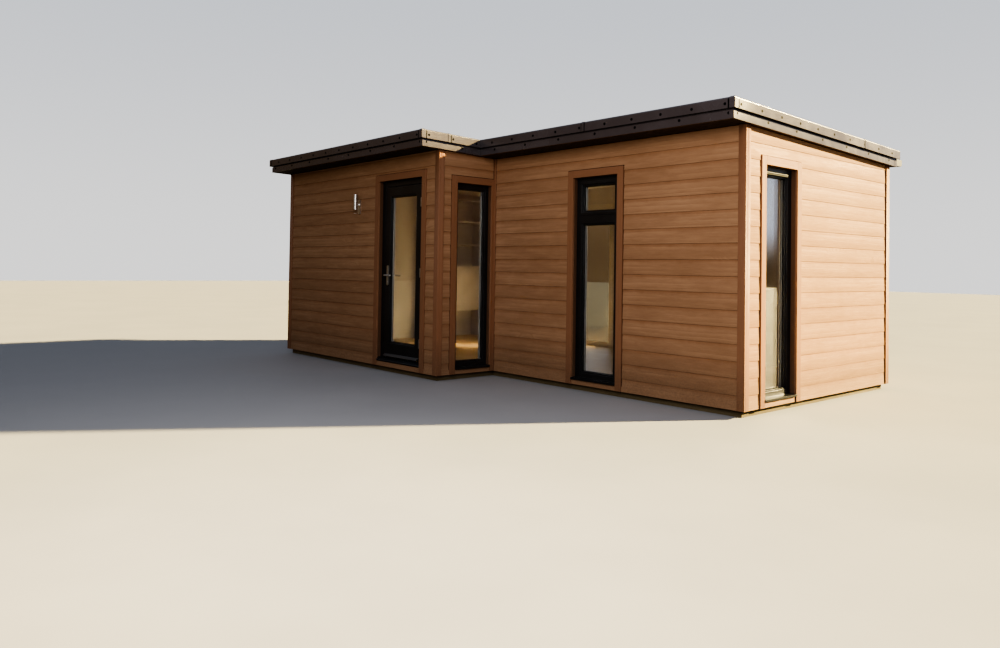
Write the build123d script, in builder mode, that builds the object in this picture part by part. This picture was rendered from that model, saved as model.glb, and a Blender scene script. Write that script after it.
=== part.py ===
from build123d import *
from math import hypot
import os

os.makedirs("parts", exist_ok=True)

# Plan, over the outer faces of the wall panels, in millimetres
building_length = 6200
main_front_length = 3000
main_depth = 2600
wing_projection = 745
wall_thickness = 130

# Floor and base
bearer_height = 95
bearer_width = 70
joist_width = 45
joist_count = 10
timber_seat = 0.3
deck_thickness = 22
skirt_bottom = 55
skirt_thickness = 25
base_clearance = 5

# Roof deck and its two-tier metal edge
kerb_top = 2484
roof_fall = 0.031
roof_thickness = 120
front_overhang = 288
rear_overhang = 120
verge_overhang = 85
kerb_width = 90
kerb_height = 88
kerb_nose = 14
kerb_sheet = 12
kerb_upstand = 35
shadow_gap = 10
fascia_height = 66
fascia_board = 18
fascia_lip = 10
tier_setback = 25

# Folded caps on the kerb's corners and joints
cap_sheet = 3
cap_length = 48
cap_return = 40
joint_cover_length = 30
front_joint_from_corner = 1558
right_joint_from_corner = 2228
return_joint_from_corner = 340

# Trim boards outside the panels
trim_thickness = 22
trim_width = 70
corner_width = 68
inner_corner_bead = 28

# Openings: distances run from the corner that each wall shares with the front or the wing
kerb_to_opening_head = 462
door_head_rise = 63
front_window_from_corner = 1290
front_window_width = 544
side_window_from_corner = 289
side_window_width = 500
return_window_from_inner = 60
return_window_width = 465
rear_window_from_corner = 3455
rear_window_width = 900
door_from_wing_corner = 278
door_width = 813

# Window frames and glass
frame_recess = 38
frame_depth = 70
frame_face = 80
return_frame_face = 60
sill_face = 60
head_to_transom_bottom = 450
transom_height = 134
sash_margin = 16
sash_band = 26
sash_proud = 6
glass_thickness = 24
glass_setback = 32
glazing_rebate = 12
bead_width = 14
bead_setback = 9
sill_rise = 8
sill_reach = 30
sill_sheet = 3
sill_drip = 14

# Trickle vent on the head of the side window
vent_length = 345
vent_height = 26
vent_depth = 12
vent_below_head = 56

# Door set
door_frame_face = 60
door_stop_width = 18
door_stop_depth = 14
threshold_height = 30
sill_nose = 6
leaf_gap = 6
leaf_rail = 112
leaf_bottom_rail = 170
leaf_thickness = 56
leaf_glass_setback = 20
handle_height = 1050
handle_plate_width = 32
handle_plate_height = 220
handle_plate_thickness = 8
lever_reach = 55
lever_length = 120
lever_radius = 9
lock_below_lever = 72
lock_radius = 8.5
lock_stand = 3.5
rain_bar_inset = 20
rain_bar_height = 28
rain_bar_reach = 22
rain_bar_top = 9
rain_bar_above_foot = 12

# Butt hinges on the faces of frame and leaf
hinge_count = 3
hinge_end_distance = 190
hinge_height = 96
hinge_plate_width = 22
hinge_plate_thickness = 3
knuckle_radius = 8
knuckle_stand_off = 1
pin_radius = 4
pin_clearance = 0.06
knuckle_gap = 1

# Rain goods
gutter_width = 125
gutter_depth = 65
gutter_sheet = 3
gutter_drop = 50
strap_width = 22
strap_sheet = 3
strap_count = 8
pipe_radius = 34
pipe_from_corner = 250
pipe_stand_off = 20
pipe_bottom = 120
pipe_mouth_depth = 40
pipe_wall = 3
bend_radius = 60
clip_height = 26
clip_width = 30
socket_length = 40

# Wall light beside the door
light_from_door = 409
light_plate_width = 45
light_plate_height = 160
light_plate_thickness = 26
light_plate_below_head = 259
light_tube_radius = 23
light_tube_length = 172
light_tube_rise = 54
light_tube_wall = 3
light_lens_depth = 6
light_stand_off = 72
light_arm_size = 16

# White cabinet between end panels, with open shelves above it, against the left wall
shelf_depth = 300
shelf_width = 950
shelf_board = 25
shelf_back = 12
shelf_rows = 3
shelf_headroom = 81
cabinet_height = 1050
cabinet_foot_space = 389
shelf_from_back_wall = 250

# Derived planes
floor_level = bearer_height + deck_thickness
right_face = building_length / 2
left_face = -right_face
inner_face = right_face - main_front_length
total_depth = (cap_sheet + front_overhang + wing_projection + main_depth
               + rear_overhang - tier_setback + gutter_width + strap_sheet)
wing_edge = cap_sheet - total_depth / 2
wing_face = wing_edge + front_overhang
main_face = wing_face + wing_projection
main_edge = main_face - front_overhang
back_face = main_face + main_depth
back_edge = back_face + rear_overhang
right_edge = right_face + verge_overhang
left_edge = left_face - verge_overhang
return_edge = inner_face + verge_overhang
fascia_drop = kerb_height + shadow_gap + fascia_height
roof_edge_inset = tier_setback + fascia_board
opening_head = kerb_top - kerb_to_opening_head
door_head = opening_head + door_head_rise
transom_bottom = opening_head - head_to_transom_bottom

pieces = {}


def top_at(y):
    """Height of the kerb's top at a distance y: the roof falls to the rear."""
    return kerb_top - roof_fall * (y - main_edge)


def falling_plane(depth):
    """The plane that lies a given depth under the kerb's top."""
    return Plane(origin=(0, main_edge, kerb_top - depth), z_dir=(0, roof_fall, 1))


roof_peak = top_at(wing_edge)
soffit_drop = kerb_upstand + roof_thickness
soffit_plane = falling_plane(soffit_drop)
fascia_underside = falling_plane(fascia_drop)


def slab(x_range, y_range, z_range):
    """A plain rectangular solid between pairs of coordinates."""
    with BuildPart() as block:
        with BuildSketch(Plane.XY.offset(z_range[0])):
            with Locations((sum(x_range) / 2, sum(y_range) / 2)):
                Rectangle(x_range[1] - x_range[0], y_range[1] - y_range[0])
        extrude(amount=z_range[1] - z_range[0])
    return block.part


# Base frames and floor decks
base_inset = skirt_thickness + base_clearance
base_left = left_face + base_inset
base_front = main_face + base_inset


def base_frame(x_range, y_range, joists):
    """Bearers along front and back; end bearers and joists stand between them."""
    length = x_range[1] - x_range[0]
    depth = y_range[1] - y_range[0]
    joist_length = depth - 2 * (bearer_width + timber_seat)
    pitch = (length - bearer_width) / (joists + 1)
    with BuildPart() as frame:
        with BuildSketch():
            with Locations((sum(x_range) / 2, sum(y_range) / 2)):
                with GridLocations(0, depth - bearer_width, 1, 2):
                    Rectangle(length, bearer_width)
                with GridLocations(length - bearer_width, 0, 2, 1):
                    Rectangle(bearer_width, joist_length)
                with GridLocations(pitch, 0, joists, 1):
                    Rectangle(joist_width, joist_length)
        extrude(amount=bearer_height)
    return frame.part


main_plan = ((base_left, right_face - base_inset), (base_front, back_face - base_inset))
wing_plan = ((base_left, inner_face - base_inset), (wing_face + base_inset, base_front))
pieces["main_base"] = base_frame(*main_plan, joist_count)
pieces["wing_base"] = base_frame(*wing_plan, joist_count // 2)
pieces["main_floor"] = slab(*main_plan, (bearer_height, floor_level))
pieces["wing_floor"] = slab(*wing_plan, (bearer_height, floor_level))


# Wall panels: a body on the floor deck, a skirt that hangs over the base, and openings cut through
def wall(body, skirt, openings=()):
    """body and skirt are (x_range, y_range); each opening is (x_range, y_range, head)."""
    with BuildPart() as panel:
        add(slab(*body, (floor_level, roof_peak)))
        add(slab(*skirt, (skirt_bottom, floor_level)))
        for x_range, y_range, head in openings:
            add(slab(x_range, y_range, (floor_level, head)), mode=Mode.SUBTRACT)
        split(bisect_by=soffit_plane, keep=Keep.BOTTOM)
    return panel.part


right_inner = right_face - wall_thickness
left_inner = left_face + wall_thickness
return_inner = inner_face - wall_thickness
front_inner = main_face + wall_thickness
wing_inner = wing_face + wall_thickness
back_inner = back_face - wall_thickness

front_window_right = right_face - front_window_from_corner
front_window_x = (front_window_right - front_window_width, front_window_right)
side_window_front = main_face + side_window_from_corner
side_window_y = (side_window_front, side_window_front + side_window_width)
return_window_back = main_face - return_window_from_inner
return_window_y = (return_window_back - return_window_width, return_window_back)
rear_window_right = right_face - rear_window_from_corner
rear_window_x = (rear_window_right - rear_window_width, rear_window_right)
door_right = inner_face - door_from_wing_corner
door_x = (door_right - door_width, door_right)
skirt_x = (left_face + skirt_thickness, right_face - skirt_thickness)

pieces["right_wall"] = wall(
    body=((right_inner, right_face), (main_face, back_face)),
    skirt=((right_face - skirt_thickness, right_face), (main_face, back_face)),
    openings=[((right_inner, right_face), side_window_y, opening_head)])
pieces["left_wall"] = wall(
    body=((left_face, left_inner), (wing_face, back_face)),
    skirt=((left_face, left_face + skirt_thickness), (wing_face, back_face)))
pieces["back_wall"] = wall(
    body=((left_inner, right_inner), (back_inner, back_face)),
    skirt=(skirt_x, (back_face - skirt_thickness, back_face)),
    openings=[(rear_window_x, (back_inner, back_face), opening_head)])
pieces["front_wall"] = wall(
    body=((return_inner, right_inner), (main_face, front_inner)),
    skirt=((inner_face - skirt_thickness, skirt_x[1]), (main_face, main_face + skirt_thickness)),
    openings=[(front_window_x, (main_face, front_inner), opening_head)])
pieces["return_wall"] = wall(
    body=((return_inner, inner_face), (wing_face, main_face)),
    skirt=((inner_face - skirt_thickness, inner_face), (wing_face, main_face)),
    openings=[((return_inner, inner_face), return_window_y, opening_head)])
pieces["wing_wall_left"] = wall(
    body=((left_inner, door_x[0]), (wing_face, wing_inner)),
    skirt=((skirt_x[0], door_x[1]), (wing_face, wing_face + skirt_thickness)))
pieces["wing_wall_right"] = wall(
    body=((door_x[1], return_inner), (wing_face, wing_inner)),
    skirt=((door_x[1], inner_face - skirt_thickness), (wing_face, wing_face + skirt_thickness)))
with BuildPart() as over_door:
    add(slab(door_x, (wing_face, wing_inner), (door_head, roof_peak)))
    split(bisect_by=soffit_plane, keep=Keep.BOTTOM)
pieces["wing_wall_over_door"] = over_door.part


# Roof decks between the fascia boards
def roof_deck(x_range, y_range):
    """A slab whose top and underside both follow the fall."""
    with BuildPart() as deck:
        with BuildSketch(Plane.YZ.offset(x_range[0])):
            with BuildLine():
                top = [(y, top_at(y) - kerb_upstand) for y in y_range]
                underside = [(y, z - roof_thickness) for y, z in reversed(top)]
                Polyline(*top, *underside, close=True)
            make_face()
        extrude(amount=x_range[1] - x_range[0])
    return deck.part


main_deck_front = main_edge + roof_edge_inset
pieces["main_roof"] = roof_deck((left_edge + roof_edge_inset, right_edge - roof_edge_inset),
                                (main_deck_front, back_edge - roof_edge_inset))
pieces["wing_roof"] = roof_deck((left_edge + roof_edge_inset, return_edge - roof_edge_inset),
                                (wing_edge + roof_edge_inset, main_deck_front))

# Roof edge sections: distances run inwards from the kerb's face and up from its top
kerb_section = [(0, 0), (0, -kerb_height), (kerb_sheet, -kerb_height), (kerb_sheet, -kerb_upstand),
                (kerb_width, -kerb_upstand), (kerb_width, 0)]
kerb_rounds = [((0, 0), kerb_nose)]
lip_inset = tier_setback + fascia_board - fascia_lip
gap_level = -kerb_height - shadow_gap
fascia_section = [(tier_setback, -fascia_drop), (tier_setback, gap_level), (lip_inset, gap_level),
                  (lip_inset, -kerb_upstand), (roof_edge_inset, -kerb_upstand),
                  (roof_edge_inset, -fascia_drop)]
back_section = [(tier_setback, -fascia_drop), (tier_setback, -kerb_upstand),
                (roof_edge_inset, -kerb_upstand), (roof_edge_inset, -fascia_drop)]


def edge_run(section, start, end, start_turn, end_turn, rounds=()):
    """A section run from corner to corner and mitred: a turn is 1 outside, -1 inside, 0 square.
    It is drawn square to the run, which lies in the roof's fall, with its levels as measured upright.
    Each of rounds is a corner of the section and its radius."""
    length = hypot(end[0] - start[0], end[1] - start[1])
    along = Vector((end[0] - start[0]) / length, (end[1] - start[1]) / length)
    inwards = Vector(-along.Y, along.X)
    slope = Vector(along.X, along.Y, -roof_fall * along.Y)
    reach = max(inset for inset, level in section)
    spare = 2 * reach
    outline = [(inset, (level - roof_fall * inwards.Y * inset) / slope.length) for inset, level in section]
    begin = Vector(start[0], start[1], top_at(start[1])) - slope * spare
    start_mitre = inwards + along * start_turn
    end_mitre = inwards - along * end_turn
    plan = [Vector(*start) - start_mitre * cap_sheet, Vector(*end) - end_mitre * cap_sheet,
            Vector(*end) + end_mitre * reach, Vector(*start) + start_mitre * reach]
    with BuildPart() as run:
        with BuildSketch(Plane(origin=begin, x_dir=inwards, z_dir=slope)) as profile:
            with BuildLine():
                Polyline(*outline, close=True)
            make_face()
            for corner, radius in rounds:
                fillet(profile.vertices().sort_by_distance(corner)[0], radius)
        extrude(amount=slope.length * (length + 2 * spare))
        with BuildSketch():
            with BuildLine():
                Polyline(*[(p.X, p.Y) for p in plan], close=True)
            make_face()
        extrude(amount=roof_peak + 2 * cap_sheet, mode=Mode.INTERSECT)
    return run.part


corner_front_right = (right_edge, main_edge)
corner_back_right = (right_edge, back_edge)
corner_back_left = (left_edge, back_edge)
corner_wing_left = (left_edge, wing_edge)
corner_wing_right = (return_edge, wing_edge)
corner_inner = (return_edge, main_edge)
edge_runs = {
    "front": (corner_inner, corner_front_right, -1, 1),
    "right": (corner_front_right, corner_back_right, 1, 1),
    "back": (corner_back_right, corner_back_left, 1, 1),
    "left": (corner_back_left, corner_wing_left, 1, 1),
    "wing": (corner_wing_left, corner_wing_right, 1, 1),
    "return": (corner_wing_right, corner_inner, 1, -1),
}
for side, (start, end, start_turn, end_turn) in edge_runs.items():
    section = back_section if side == "back" else fascia_section
    pieces[f"{side}_fascia"] = edge_run(section, start, end, start_turn, end_turn)
    if side == "back":
        continue
    if side == "left":
        start_turn = 0
    if side == "right":
        end_turn = 0
    pieces[f"{side}_kerb"] = edge_run(kerb_section, start, end, start_turn, end_turn, kerb_rounds)

# Folded caps over the kerb's outside corners and over the joints of long runs
cap_section = [(-cap_sheet, cap_sheet), (-cap_sheet, -kerb_height), (0, -kerb_height), (0, 0),
               (cap_return, 0), (cap_return, cap_sheet)]
cap_rounds = [((-cap_sheet, cap_sheet), kerb_nose + cap_sheet), ((0, 0), kerb_nose)]


def stretch(along_run, distance, length):
    """A cap section laid over part of an edge run, measured from the run's start."""
    start, end = Vector(*along_run[0]), Vector(*along_run[1])
    along = (end - start).normalized()
    points = (start + along * distance, start + along * (distance + length))
    return [(point.X, point.Y) for point in points]


def corner_cap(before, after):
    """A folded cap over the outside corner where one edge run ends and the next begins."""
    run_length = hypot(before[1][0] - before[0][0], before[1][1] - before[0][1])
    leg_in = stretch(before, run_length - cap_length, cap_length)
    leg_out = stretch(after, 0, cap_length)
    with BuildPart() as cap:
        add(edge_run(cap_section, *leg_in, 0, 1, cap_rounds))
        add(edge_run(cap_section, *leg_out, 1, 0, cap_rounds))
    return cap.part


def joint_cover(run, distance):
    """A strip folded over the kerb where two lengths meet."""
    strip = stretch(run, distance - joint_cover_length / 2, joint_cover_length)
    return edge_run(cap_section, *strip, 0, 0, cap_rounds)


front_length = right_edge - return_edge
with BuildPart() as kerb_caps:
    add(corner_cap(edge_runs["front"], edge_runs["right"]))
    add(corner_cap(edge_runs["left"], edge_runs["wing"]))
    add(corner_cap(edge_runs["wing"], edge_runs["return"]))
    add(joint_cover(edge_runs["front"], front_length - front_joint_from_corner))
    add(joint_cover(edge_runs["right"], right_joint_from_corner))
    add(joint_cover(edge_runs["return"], return_joint_from_corner))
pieces["kerb_caps"] = kerb_caps.part

# Corner posts: an angle of board outside each corner, and a bead in the inside corner
outside_corners = [(right_face, main_face, 1, -1), (right_face, back_face, 1, 1),
                   (left_face, back_face, -1, 1), (left_face, wing_face, -1, -1),
                   (inner_face, wing_face, 1, -1)]
corner_leg = corner_width - trim_thickness
with BuildPart() as corner_trims:
    with BuildSketch(Plane.XY.offset(skirt_bottom)):
        for x, y, side_x, side_y in outside_corners:
            with Locations((x + side_x * (trim_thickness - corner_width / 2),
                            y + side_y * (trim_thickness - corner_width / 2))):
                Rectangle(corner_width, corner_width)
            with Locations((x - side_x * corner_leg / 2, y - side_y * corner_leg / 2)):
                Rectangle(corner_leg, corner_leg, mode=Mode.SUBTRACT)
        with Locations((inner_face + inner_corner_bead / 2, main_face - inner_corner_bead / 2)):
            Rectangle(inner_corner_bead, inner_corner_bead)
    extrude(amount=roof_peak)
    split(bisect_by=fascia_underside, keep=Keep.BOTTOM)
pieces["corner_trims"] = corner_trims.part

# Wall faces as planes: local X along the wall, local Y up, normal outwards
front_face = Plane(origin=(0, main_face, 0), x_dir=(1, 0, 0), z_dir=(0, -1, 0))
side_face = Plane(origin=(right_face, 0, 0), x_dir=(0, 1, 0), z_dir=(1, 0, 0))
return_face = Plane(origin=(inner_face, 0, 0), x_dir=(0, 1, 0), z_dir=(1, 0, 0))
wing_front = Plane(origin=(0, wing_face, 0), x_dir=(1, 0, 0), z_dir=(0, -1, 0))
rear_face = Plane(origin=(0, back_face, 0), x_dir=(-1, 0, 0), z_dir=(0, 1, 0))
rear_window_across = (-rear_window_x[1], -rear_window_x[0])


def rectangle_between(across, up, mode=Mode.ADD):
    """A rectangle in the sketch being made, between two pairs of coordinates."""
    with Locations((sum(across) / 2, sum(up) / 2)):
        Rectangle(across[1] - across[0], up[1] - up[0], mode=mode)


def opening_trim(face, across, head, left_width=trim_width, right_width=trim_width):
    """Boards down both sides of an opening and over its head."""
    with BuildPart() as trim:
        with BuildSketch(face):
            outside = (across[0] - left_width, across[1] + right_width)
            rectangle_between(outside, (skirt_bottom, head + trim_width))
            rectangle_between(across, (skirt_bottom, head), mode=Mode.SUBTRACT)
        extrude(amount=trim_thickness)
    return trim.part


with BuildPart() as window_trims:
    add(opening_trim(front_face, front_window_x, opening_head))
    add(opening_trim(side_face, side_window_y, opening_head))
    add(opening_trim(return_face, return_window_y, opening_head,
                     right_width=return_window_from_inner - inner_corner_bead))
    add(opening_trim(rear_face, rear_window_across, opening_head))
pieces["window_trims"] = window_trims.part
pieces["door_trim"] = opening_trim(wing_front, door_x, door_head)


def grown(span, amount):
    """A pair of coordinates moved apart at both ends."""
    return (span[0] - amount, span[1] + amount)


def glazed(face, across, up, panes, depth, setback):
    """A frame over the given area with stepped beads round its panes; returns the frame and its glass."""
    with BuildPart() as glass:
        with BuildSketch(face.offset(-frame_recess - setback)):
            for pane_across, pane_up in panes:
                rectangle_between(grown(pane_across, glazing_rebate), grown(pane_up, glazing_rebate))
        extrude(amount=-glass_thickness)
    with BuildPart() as frame:
        with BuildSketch(face.offset(-frame_recess)):
            rectangle_between(across, up)
            for pane in panes:
                rectangle_between(*pane, mode=Mode.SUBTRACT)
        extrude(amount=-depth)
        with BuildSketch(face.offset(-frame_recess)):
            for pane_across, pane_up in panes:
                rectangle_between(grown(pane_across, bead_width), grown(pane_up, bead_width))
        extrude(amount=-bead_setback, mode=Mode.SUBTRACT)
        add(glass.part, mode=Mode.SUBTRACT)
    return frame.part, glass.part


window_up = (floor_level, opening_head)


def tall_pane(across, face_width):
    """One pane from the sill member to the head."""
    return (grown(across, -face_width), (floor_level + sill_face, opening_head - face_width))


front_pane_x = grown(front_window_x, -frame_face)
front_panes = [(front_pane_x, (floor_level + sill_face, transom_bottom)),
               (front_pane_x, (transom_bottom + transom_height, opening_head - frame_face))]


def sill(face, across):
    """A sloped sill on the skirt under a window, with a drip edge in front of the trim boards."""
    far_end = face.from_local_coords((across[1], 0, 0))
    with BuildPart() as nosing:
        with BuildSketch(Plane(origin=far_end, x_dir=face.z_dir, z_dir=-face.x_dir)):
            with BuildLine():
                Polyline((-frame_recess, floor_level), (-frame_recess, floor_level + sill_rise),
                         (sill_reach, floor_level + sill_sheet), (sill_reach, floor_level - sill_drip),
                         (sill_reach - sill_sheet, floor_level - sill_drip),
                         (sill_reach - sill_sheet, floor_level), close=True)
            make_face()
        extrude(amount=across[1] - across[0])
    return nosing.part


windows = {
    "front": (front_face, front_window_x, front_panes),
    "side": (side_face, side_window_y, [tall_pane(side_window_y, frame_face)]),
    "return": (return_face, return_window_y, [tall_pane(return_window_y, return_frame_face)]),
    "rear": (rear_face, rear_window_across, [tall_pane(rear_window_across, frame_face)]),
}
with BuildPart() as window_glass:
    for position, (face, across, panes) in windows.items():
        frame, glass = glazed(face, across, window_up, panes, frame_depth, glass_setback)
        pieces[f"{position}_window_frame"] = frame + sill(face, across)
        add(glass)
pieces["window_glass"] = window_glass.part

# Opening sash that stands proud of the frame round the top light
with BuildPart() as top_light_sash:
    with BuildSketch(front_face.offset(-frame_recess)):
        top_across, top_up = front_panes[1]
        margin = sash_margin + sash_band
        rectangle_between(grown(top_across, margin), grown(top_up, margin))
        rectangle_between(grown(top_across, sash_margin), grown(top_up, sash_margin), mode=Mode.SUBTRACT)
    extrude(amount=sash_proud)
pieces["front_window_frame"] += top_light_sash.part

# Trickle vent with its front edges rounded over
with BuildPart() as side_window_vent:
    with BuildSketch(side_face.offset(-frame_recess)):
        with Locations((sum(side_window_y) / 2, opening_head - vent_below_head)):
            Rectangle(vent_length, vent_height)
    extrude(amount=vent_depth)
    fillet(side_window_vent.faces().sort_by(Axis.X)[-1].edges().filter_by(Axis.Y), vent_depth / 2)
pieces["side_window_vent"] = side_window_vent.part

# Door frame: rebated jambs and head, with a threshold between the jambs
door_frame_depth = leaf_thickness + leaf_gap + door_stop_depth
frame_inner_x = (door_x[0] + door_frame_face, door_x[1] - door_frame_face)
frame_inner_head = door_head - door_frame_face
threshold_top = floor_level + threshold_height
threshold_front = wing_face - trim_thickness
threshold_back = wing_face + frame_recess + door_frame_depth
with BuildPart() as door_frame:
    with BuildSketch(wing_front.offset(-frame_recess)):
        rectangle_between(door_x, (floor_level, door_head))
        rectangle_between(frame_inner_x, (floor_level, frame_inner_head), mode=Mode.SUBTRACT)
    extrude(amount=-door_frame_depth)
    with BuildSketch(wing_front.offset(-frame_recess - door_frame_depth + door_stop_depth)):
        rectangle_between(frame_inner_x, (floor_level, frame_inner_head))
        rectangle_between((frame_inner_x[0] + door_stop_width, frame_inner_x[1] - door_stop_width),
                          (floor_level, frame_inner_head - door_stop_width), mode=Mode.SUBTRACT)
    extrude(amount=-door_stop_depth)
    with BuildSketch(Plane.YZ.offset(door_x[0])):
        with BuildLine():
            Polyline((threshold_front, floor_level), (threshold_front, floor_level + sill_nose),
                     (wing_face + frame_recess - leaf_gap, threshold_top), (threshold_back, threshold_top),
                     (threshold_back, floor_level), close=True)
        make_face()
    extrude(amount=door_width)
pieces["door_frame"] = door_frame.part

# Door leaf and its glass
leaf_x = (frame_inner_x[0] + leaf_gap, frame_inner_x[1] - leaf_gap)
leaf_up = (threshold_top + leaf_gap, frame_inner_head - leaf_gap)
leaf_pane = (grown(leaf_x, -leaf_rail), (leaf_up[0] + leaf_bottom_rail, leaf_up[1] - leaf_rail))
pieces["door_leaf"], pieces["door_glass"] = glazed(
    wing_front, leaf_x, leaf_up, [leaf_pane], leaf_thickness, leaf_glass_setback)

# Rain bar across the foot of the leaf
leaf_outer = wing_front.offset(-frame_recess)
rain_bar_foot = leaf_up[0] + rain_bar_above_foot
rain_bar_x = grown(leaf_x, -rain_bar_inset)
with BuildPart() as rain_bar:
    with BuildSketch(Plane.YZ.offset(rain_bar_x[0])):
        with BuildLine():
            Polyline((leaf_outer.origin.Y, rain_bar_foot),
                     (leaf_outer.origin.Y - rain_bar_reach, rain_bar_foot),
                     (leaf_outer.origin.Y - rain_bar_top, rain_bar_foot + rain_bar_height),
                     (leaf_outer.origin.Y, rain_bar_foot + rain_bar_height), close=True)
        make_face()
    extrude(amount=rain_bar_x[1] - rain_bar_x[0])
pieces["door_leaf"] += rain_bar.part

# Lever handles on back plates, one on each face of the lock stile, with lock cylinders below
handle_x = leaf_x[0] + leaf_rail / 2
with BuildPart() as door_handles:
    with BuildSketch(leaf_outer):
        with Locations((handle_x, handle_height)):
            SlotCenterToCenter(handle_plate_height - handle_plate_width, handle_plate_width, rotation=90)
    extrude(amount=handle_plate_thickness)
    with BuildSketch(leaf_outer):
        with Locations((handle_x, handle_height)):
            Circle(lever_radius)
    extrude(amount=lever_reach)
    with BuildSketch(Plane(origin=(handle_x - lever_radius, 0, 0), x_dir=(0, 1, 0), z_dir=(1, 0, 0))):
        with Locations((leaf_outer.origin.Y - lever_reach + lever_radius, handle_height)):
            Circle(lever_radius)
    extrude(amount=lever_length)
    with BuildSketch(leaf_outer):
        with Locations((handle_x, handle_height - lock_below_lever)):
            Circle(lock_radius)
    extrude(amount=handle_plate_thickness + lock_stand)
    mirror(about=leaf_outer.offset(-leaf_thickness / 2))
pieces["door_handles"] = door_handles.part

# Butt hinges: two knuckles and the pin on the frame, the middle knuckle on the leaf
axis_x = leaf_x[1] + leaf_gap / 2
axis_y = leaf_outer.origin.Y - knuckle_stand_off - knuckle_radius
knuckle_height = (hinge_height - 2 * knuckle_gap) / 3
hinge_pitch = (leaf_up[1] - leaf_up[0] - 2 * hinge_end_distance) / (hinge_count - 1)
first_hinge = leaf_up[0] + hinge_end_distance - hinge_height / 2
hinge_bottoms = [first_hinge + number * hinge_pitch for number in range(hinge_count)]


def hinge_half(side, knuckle_levels, bottom):
    """Plate on one side of the axis with tabs to its knuckles; side is 1 on the frame, -1 on the leaf."""
    face_y = leaf_outer.origin.Y
    plate_x = sorted((axis_x + side * knuckle_radius, axis_x + side * (knuckle_radius + hinge_plate_width)))
    tab_x = sorted((axis_x, axis_x + side * knuckle_radius))
    plate_y = (face_y - hinge_plate_thickness, face_y)
    with BuildPart() as half:
        add(slab(plate_x, plate_y, (bottom, bottom + hinge_height)))
        for level in knuckle_levels:
            low = bottom + level * (knuckle_height + knuckle_gap)
            add(slab(tab_x, plate_y, (low, low + knuckle_height)))
            with BuildSketch(Plane.XY.offset(low)):
                with Locations((axis_x, axis_y)):
                    Circle(knuckle_radius)
            extrude(amount=knuckle_height)
    return half.part


with BuildPart() as frame_hinges:
    for bottom in hinge_bottoms:
        add(hinge_half(1, (0, 2), bottom))
        with BuildSketch(Plane.XY.offset(bottom)):
            with Locations((axis_x, axis_y)):
                Circle(pin_radius)
        extrude(amount=hinge_height)
pieces["frame_hinges"] = frame_hinges.part

with BuildPart() as leaf_hinges:
    for bottom in hinge_bottoms:
        add(hinge_half(-1, (1,), bottom))
        with BuildSketch(Plane.XY.offset(bottom)):
            with Locations((axis_x, axis_y)):
                Circle(pin_radius + pin_clearance)
        extrude(amount=hinge_height, mode=Mode.SUBTRACT)
pieces["leaf_hinges"] = leaf_hinges.part

# Gutter along the back fascia, with its bottom corners rounded, held in straps
gutter_back = back_edge - tier_setback
gutter_top = top_at(back_edge) - kerb_upstand - gutter_drop
gutter_corner = gutter_depth / 3
gutter_x = (left_edge + tier_setback, right_edge - tier_setback)
gutter_length = gutter_x[1] - gutter_x[0]
with BuildPart() as gutter:
    with BuildSketch(Plane.YZ.offset(gutter_x[0])) as outside:
        rectangle_between((gutter_back, gutter_back + gutter_width),
                          (gutter_top - gutter_depth, gutter_top))
        fillet(outside.vertices().group_by(Axis.Y)[0], gutter_corner)
    extrude(amount=gutter_length)
    for number in range(strap_count):
        strap_x = gutter_x[0] + (number + 0.5) * gutter_length / strap_count - strap_width / 2
        with BuildSketch(Plane.YZ.offset(strap_x)) as strap:
            rectangle_between((gutter_back, gutter_back + gutter_width + strap_sheet),
                              (gutter_top - gutter_depth - strap_sheet, gutter_top))
            fillet(strap.vertices().group_by(Axis.Y)[0], gutter_corner + strap_sheet)
        extrude(amount=strap_width)
    with BuildSketch(Plane.YZ.offset(gutter_x[0] + gutter_sheet)) as channel:
        rectangle_between((gutter_back + gutter_sheet, gutter_back + gutter_width - gutter_sheet),
                          (gutter_top - gutter_depth + gutter_sheet, gutter_top + gutter_sheet))
        fillet(channel.vertices().group_by(Axis.Y)[0], gutter_corner - gutter_sheet)
    extrude(amount=gutter_length - 2 * gutter_sheet, mode=Mode.SUBTRACT)
pieces["gutter"] = gutter.part

# Downpipe: out of the gutter, back to the wall by two bends, and down to an open mouth
pipe_x = left_face + pipe_from_corner
pipe_start = gutter_back + gutter_width / 2
pipe_wall_y = back_face + trim_thickness + pipe_stand_off + pipe_radius
gutter_bottom = gutter_top - gutter_depth
upper_bend = gutter_bottom - 2 * bend_radius
lower_bend = upper_bend - (pipe_start - pipe_wall_y)
with BuildPart() as downpipe:
    with BuildLine():
        FilletPolyline((pipe_x, pipe_start, gutter_bottom), (pipe_x, pipe_start, upper_bend),
                       (pipe_x, pipe_wall_y, lower_bend), (pipe_x, pipe_wall_y, pipe_bottom),
                       radius=bend_radius)
    with BuildSketch(Plane.XY.offset(gutter_bottom)):
        with Locations((pipe_x, pipe_start)):
            Circle(pipe_radius)
    sweep()
    with BuildSketch(Plane.XY.offset(pipe_bottom)):
        with Locations((pipe_x, pipe_wall_y)):
            Circle(pipe_radius - pipe_wall)
    extrude(amount=pipe_mouth_depth, mode=Mode.SUBTRACT)
    for y, level in ((pipe_start, gutter_bottom), (pipe_wall_y, lower_bend - bend_radius / 2)):
        with BuildSketch(Plane.XY.offset(level)):
            with Locations((pipe_x, y)):
                Circle(pipe_radius + pipe_wall)
        extrude(amount=-socket_length)
    for level in (pipe_bottom + 2 * bend_radius, gutter_bottom / 2):
        with BuildSketch(Plane.XY.offset(level)):
            with Locations((pipe_x, pipe_wall_y)):
                Circle(pipe_radius + pipe_wall)
            rectangle_between((pipe_x - clip_width / 2, pipe_x + clip_width / 2), (back_face, pipe_wall_y))
        extrude(amount=clip_height)
pieces["downpipe"] = downpipe.part

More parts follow.
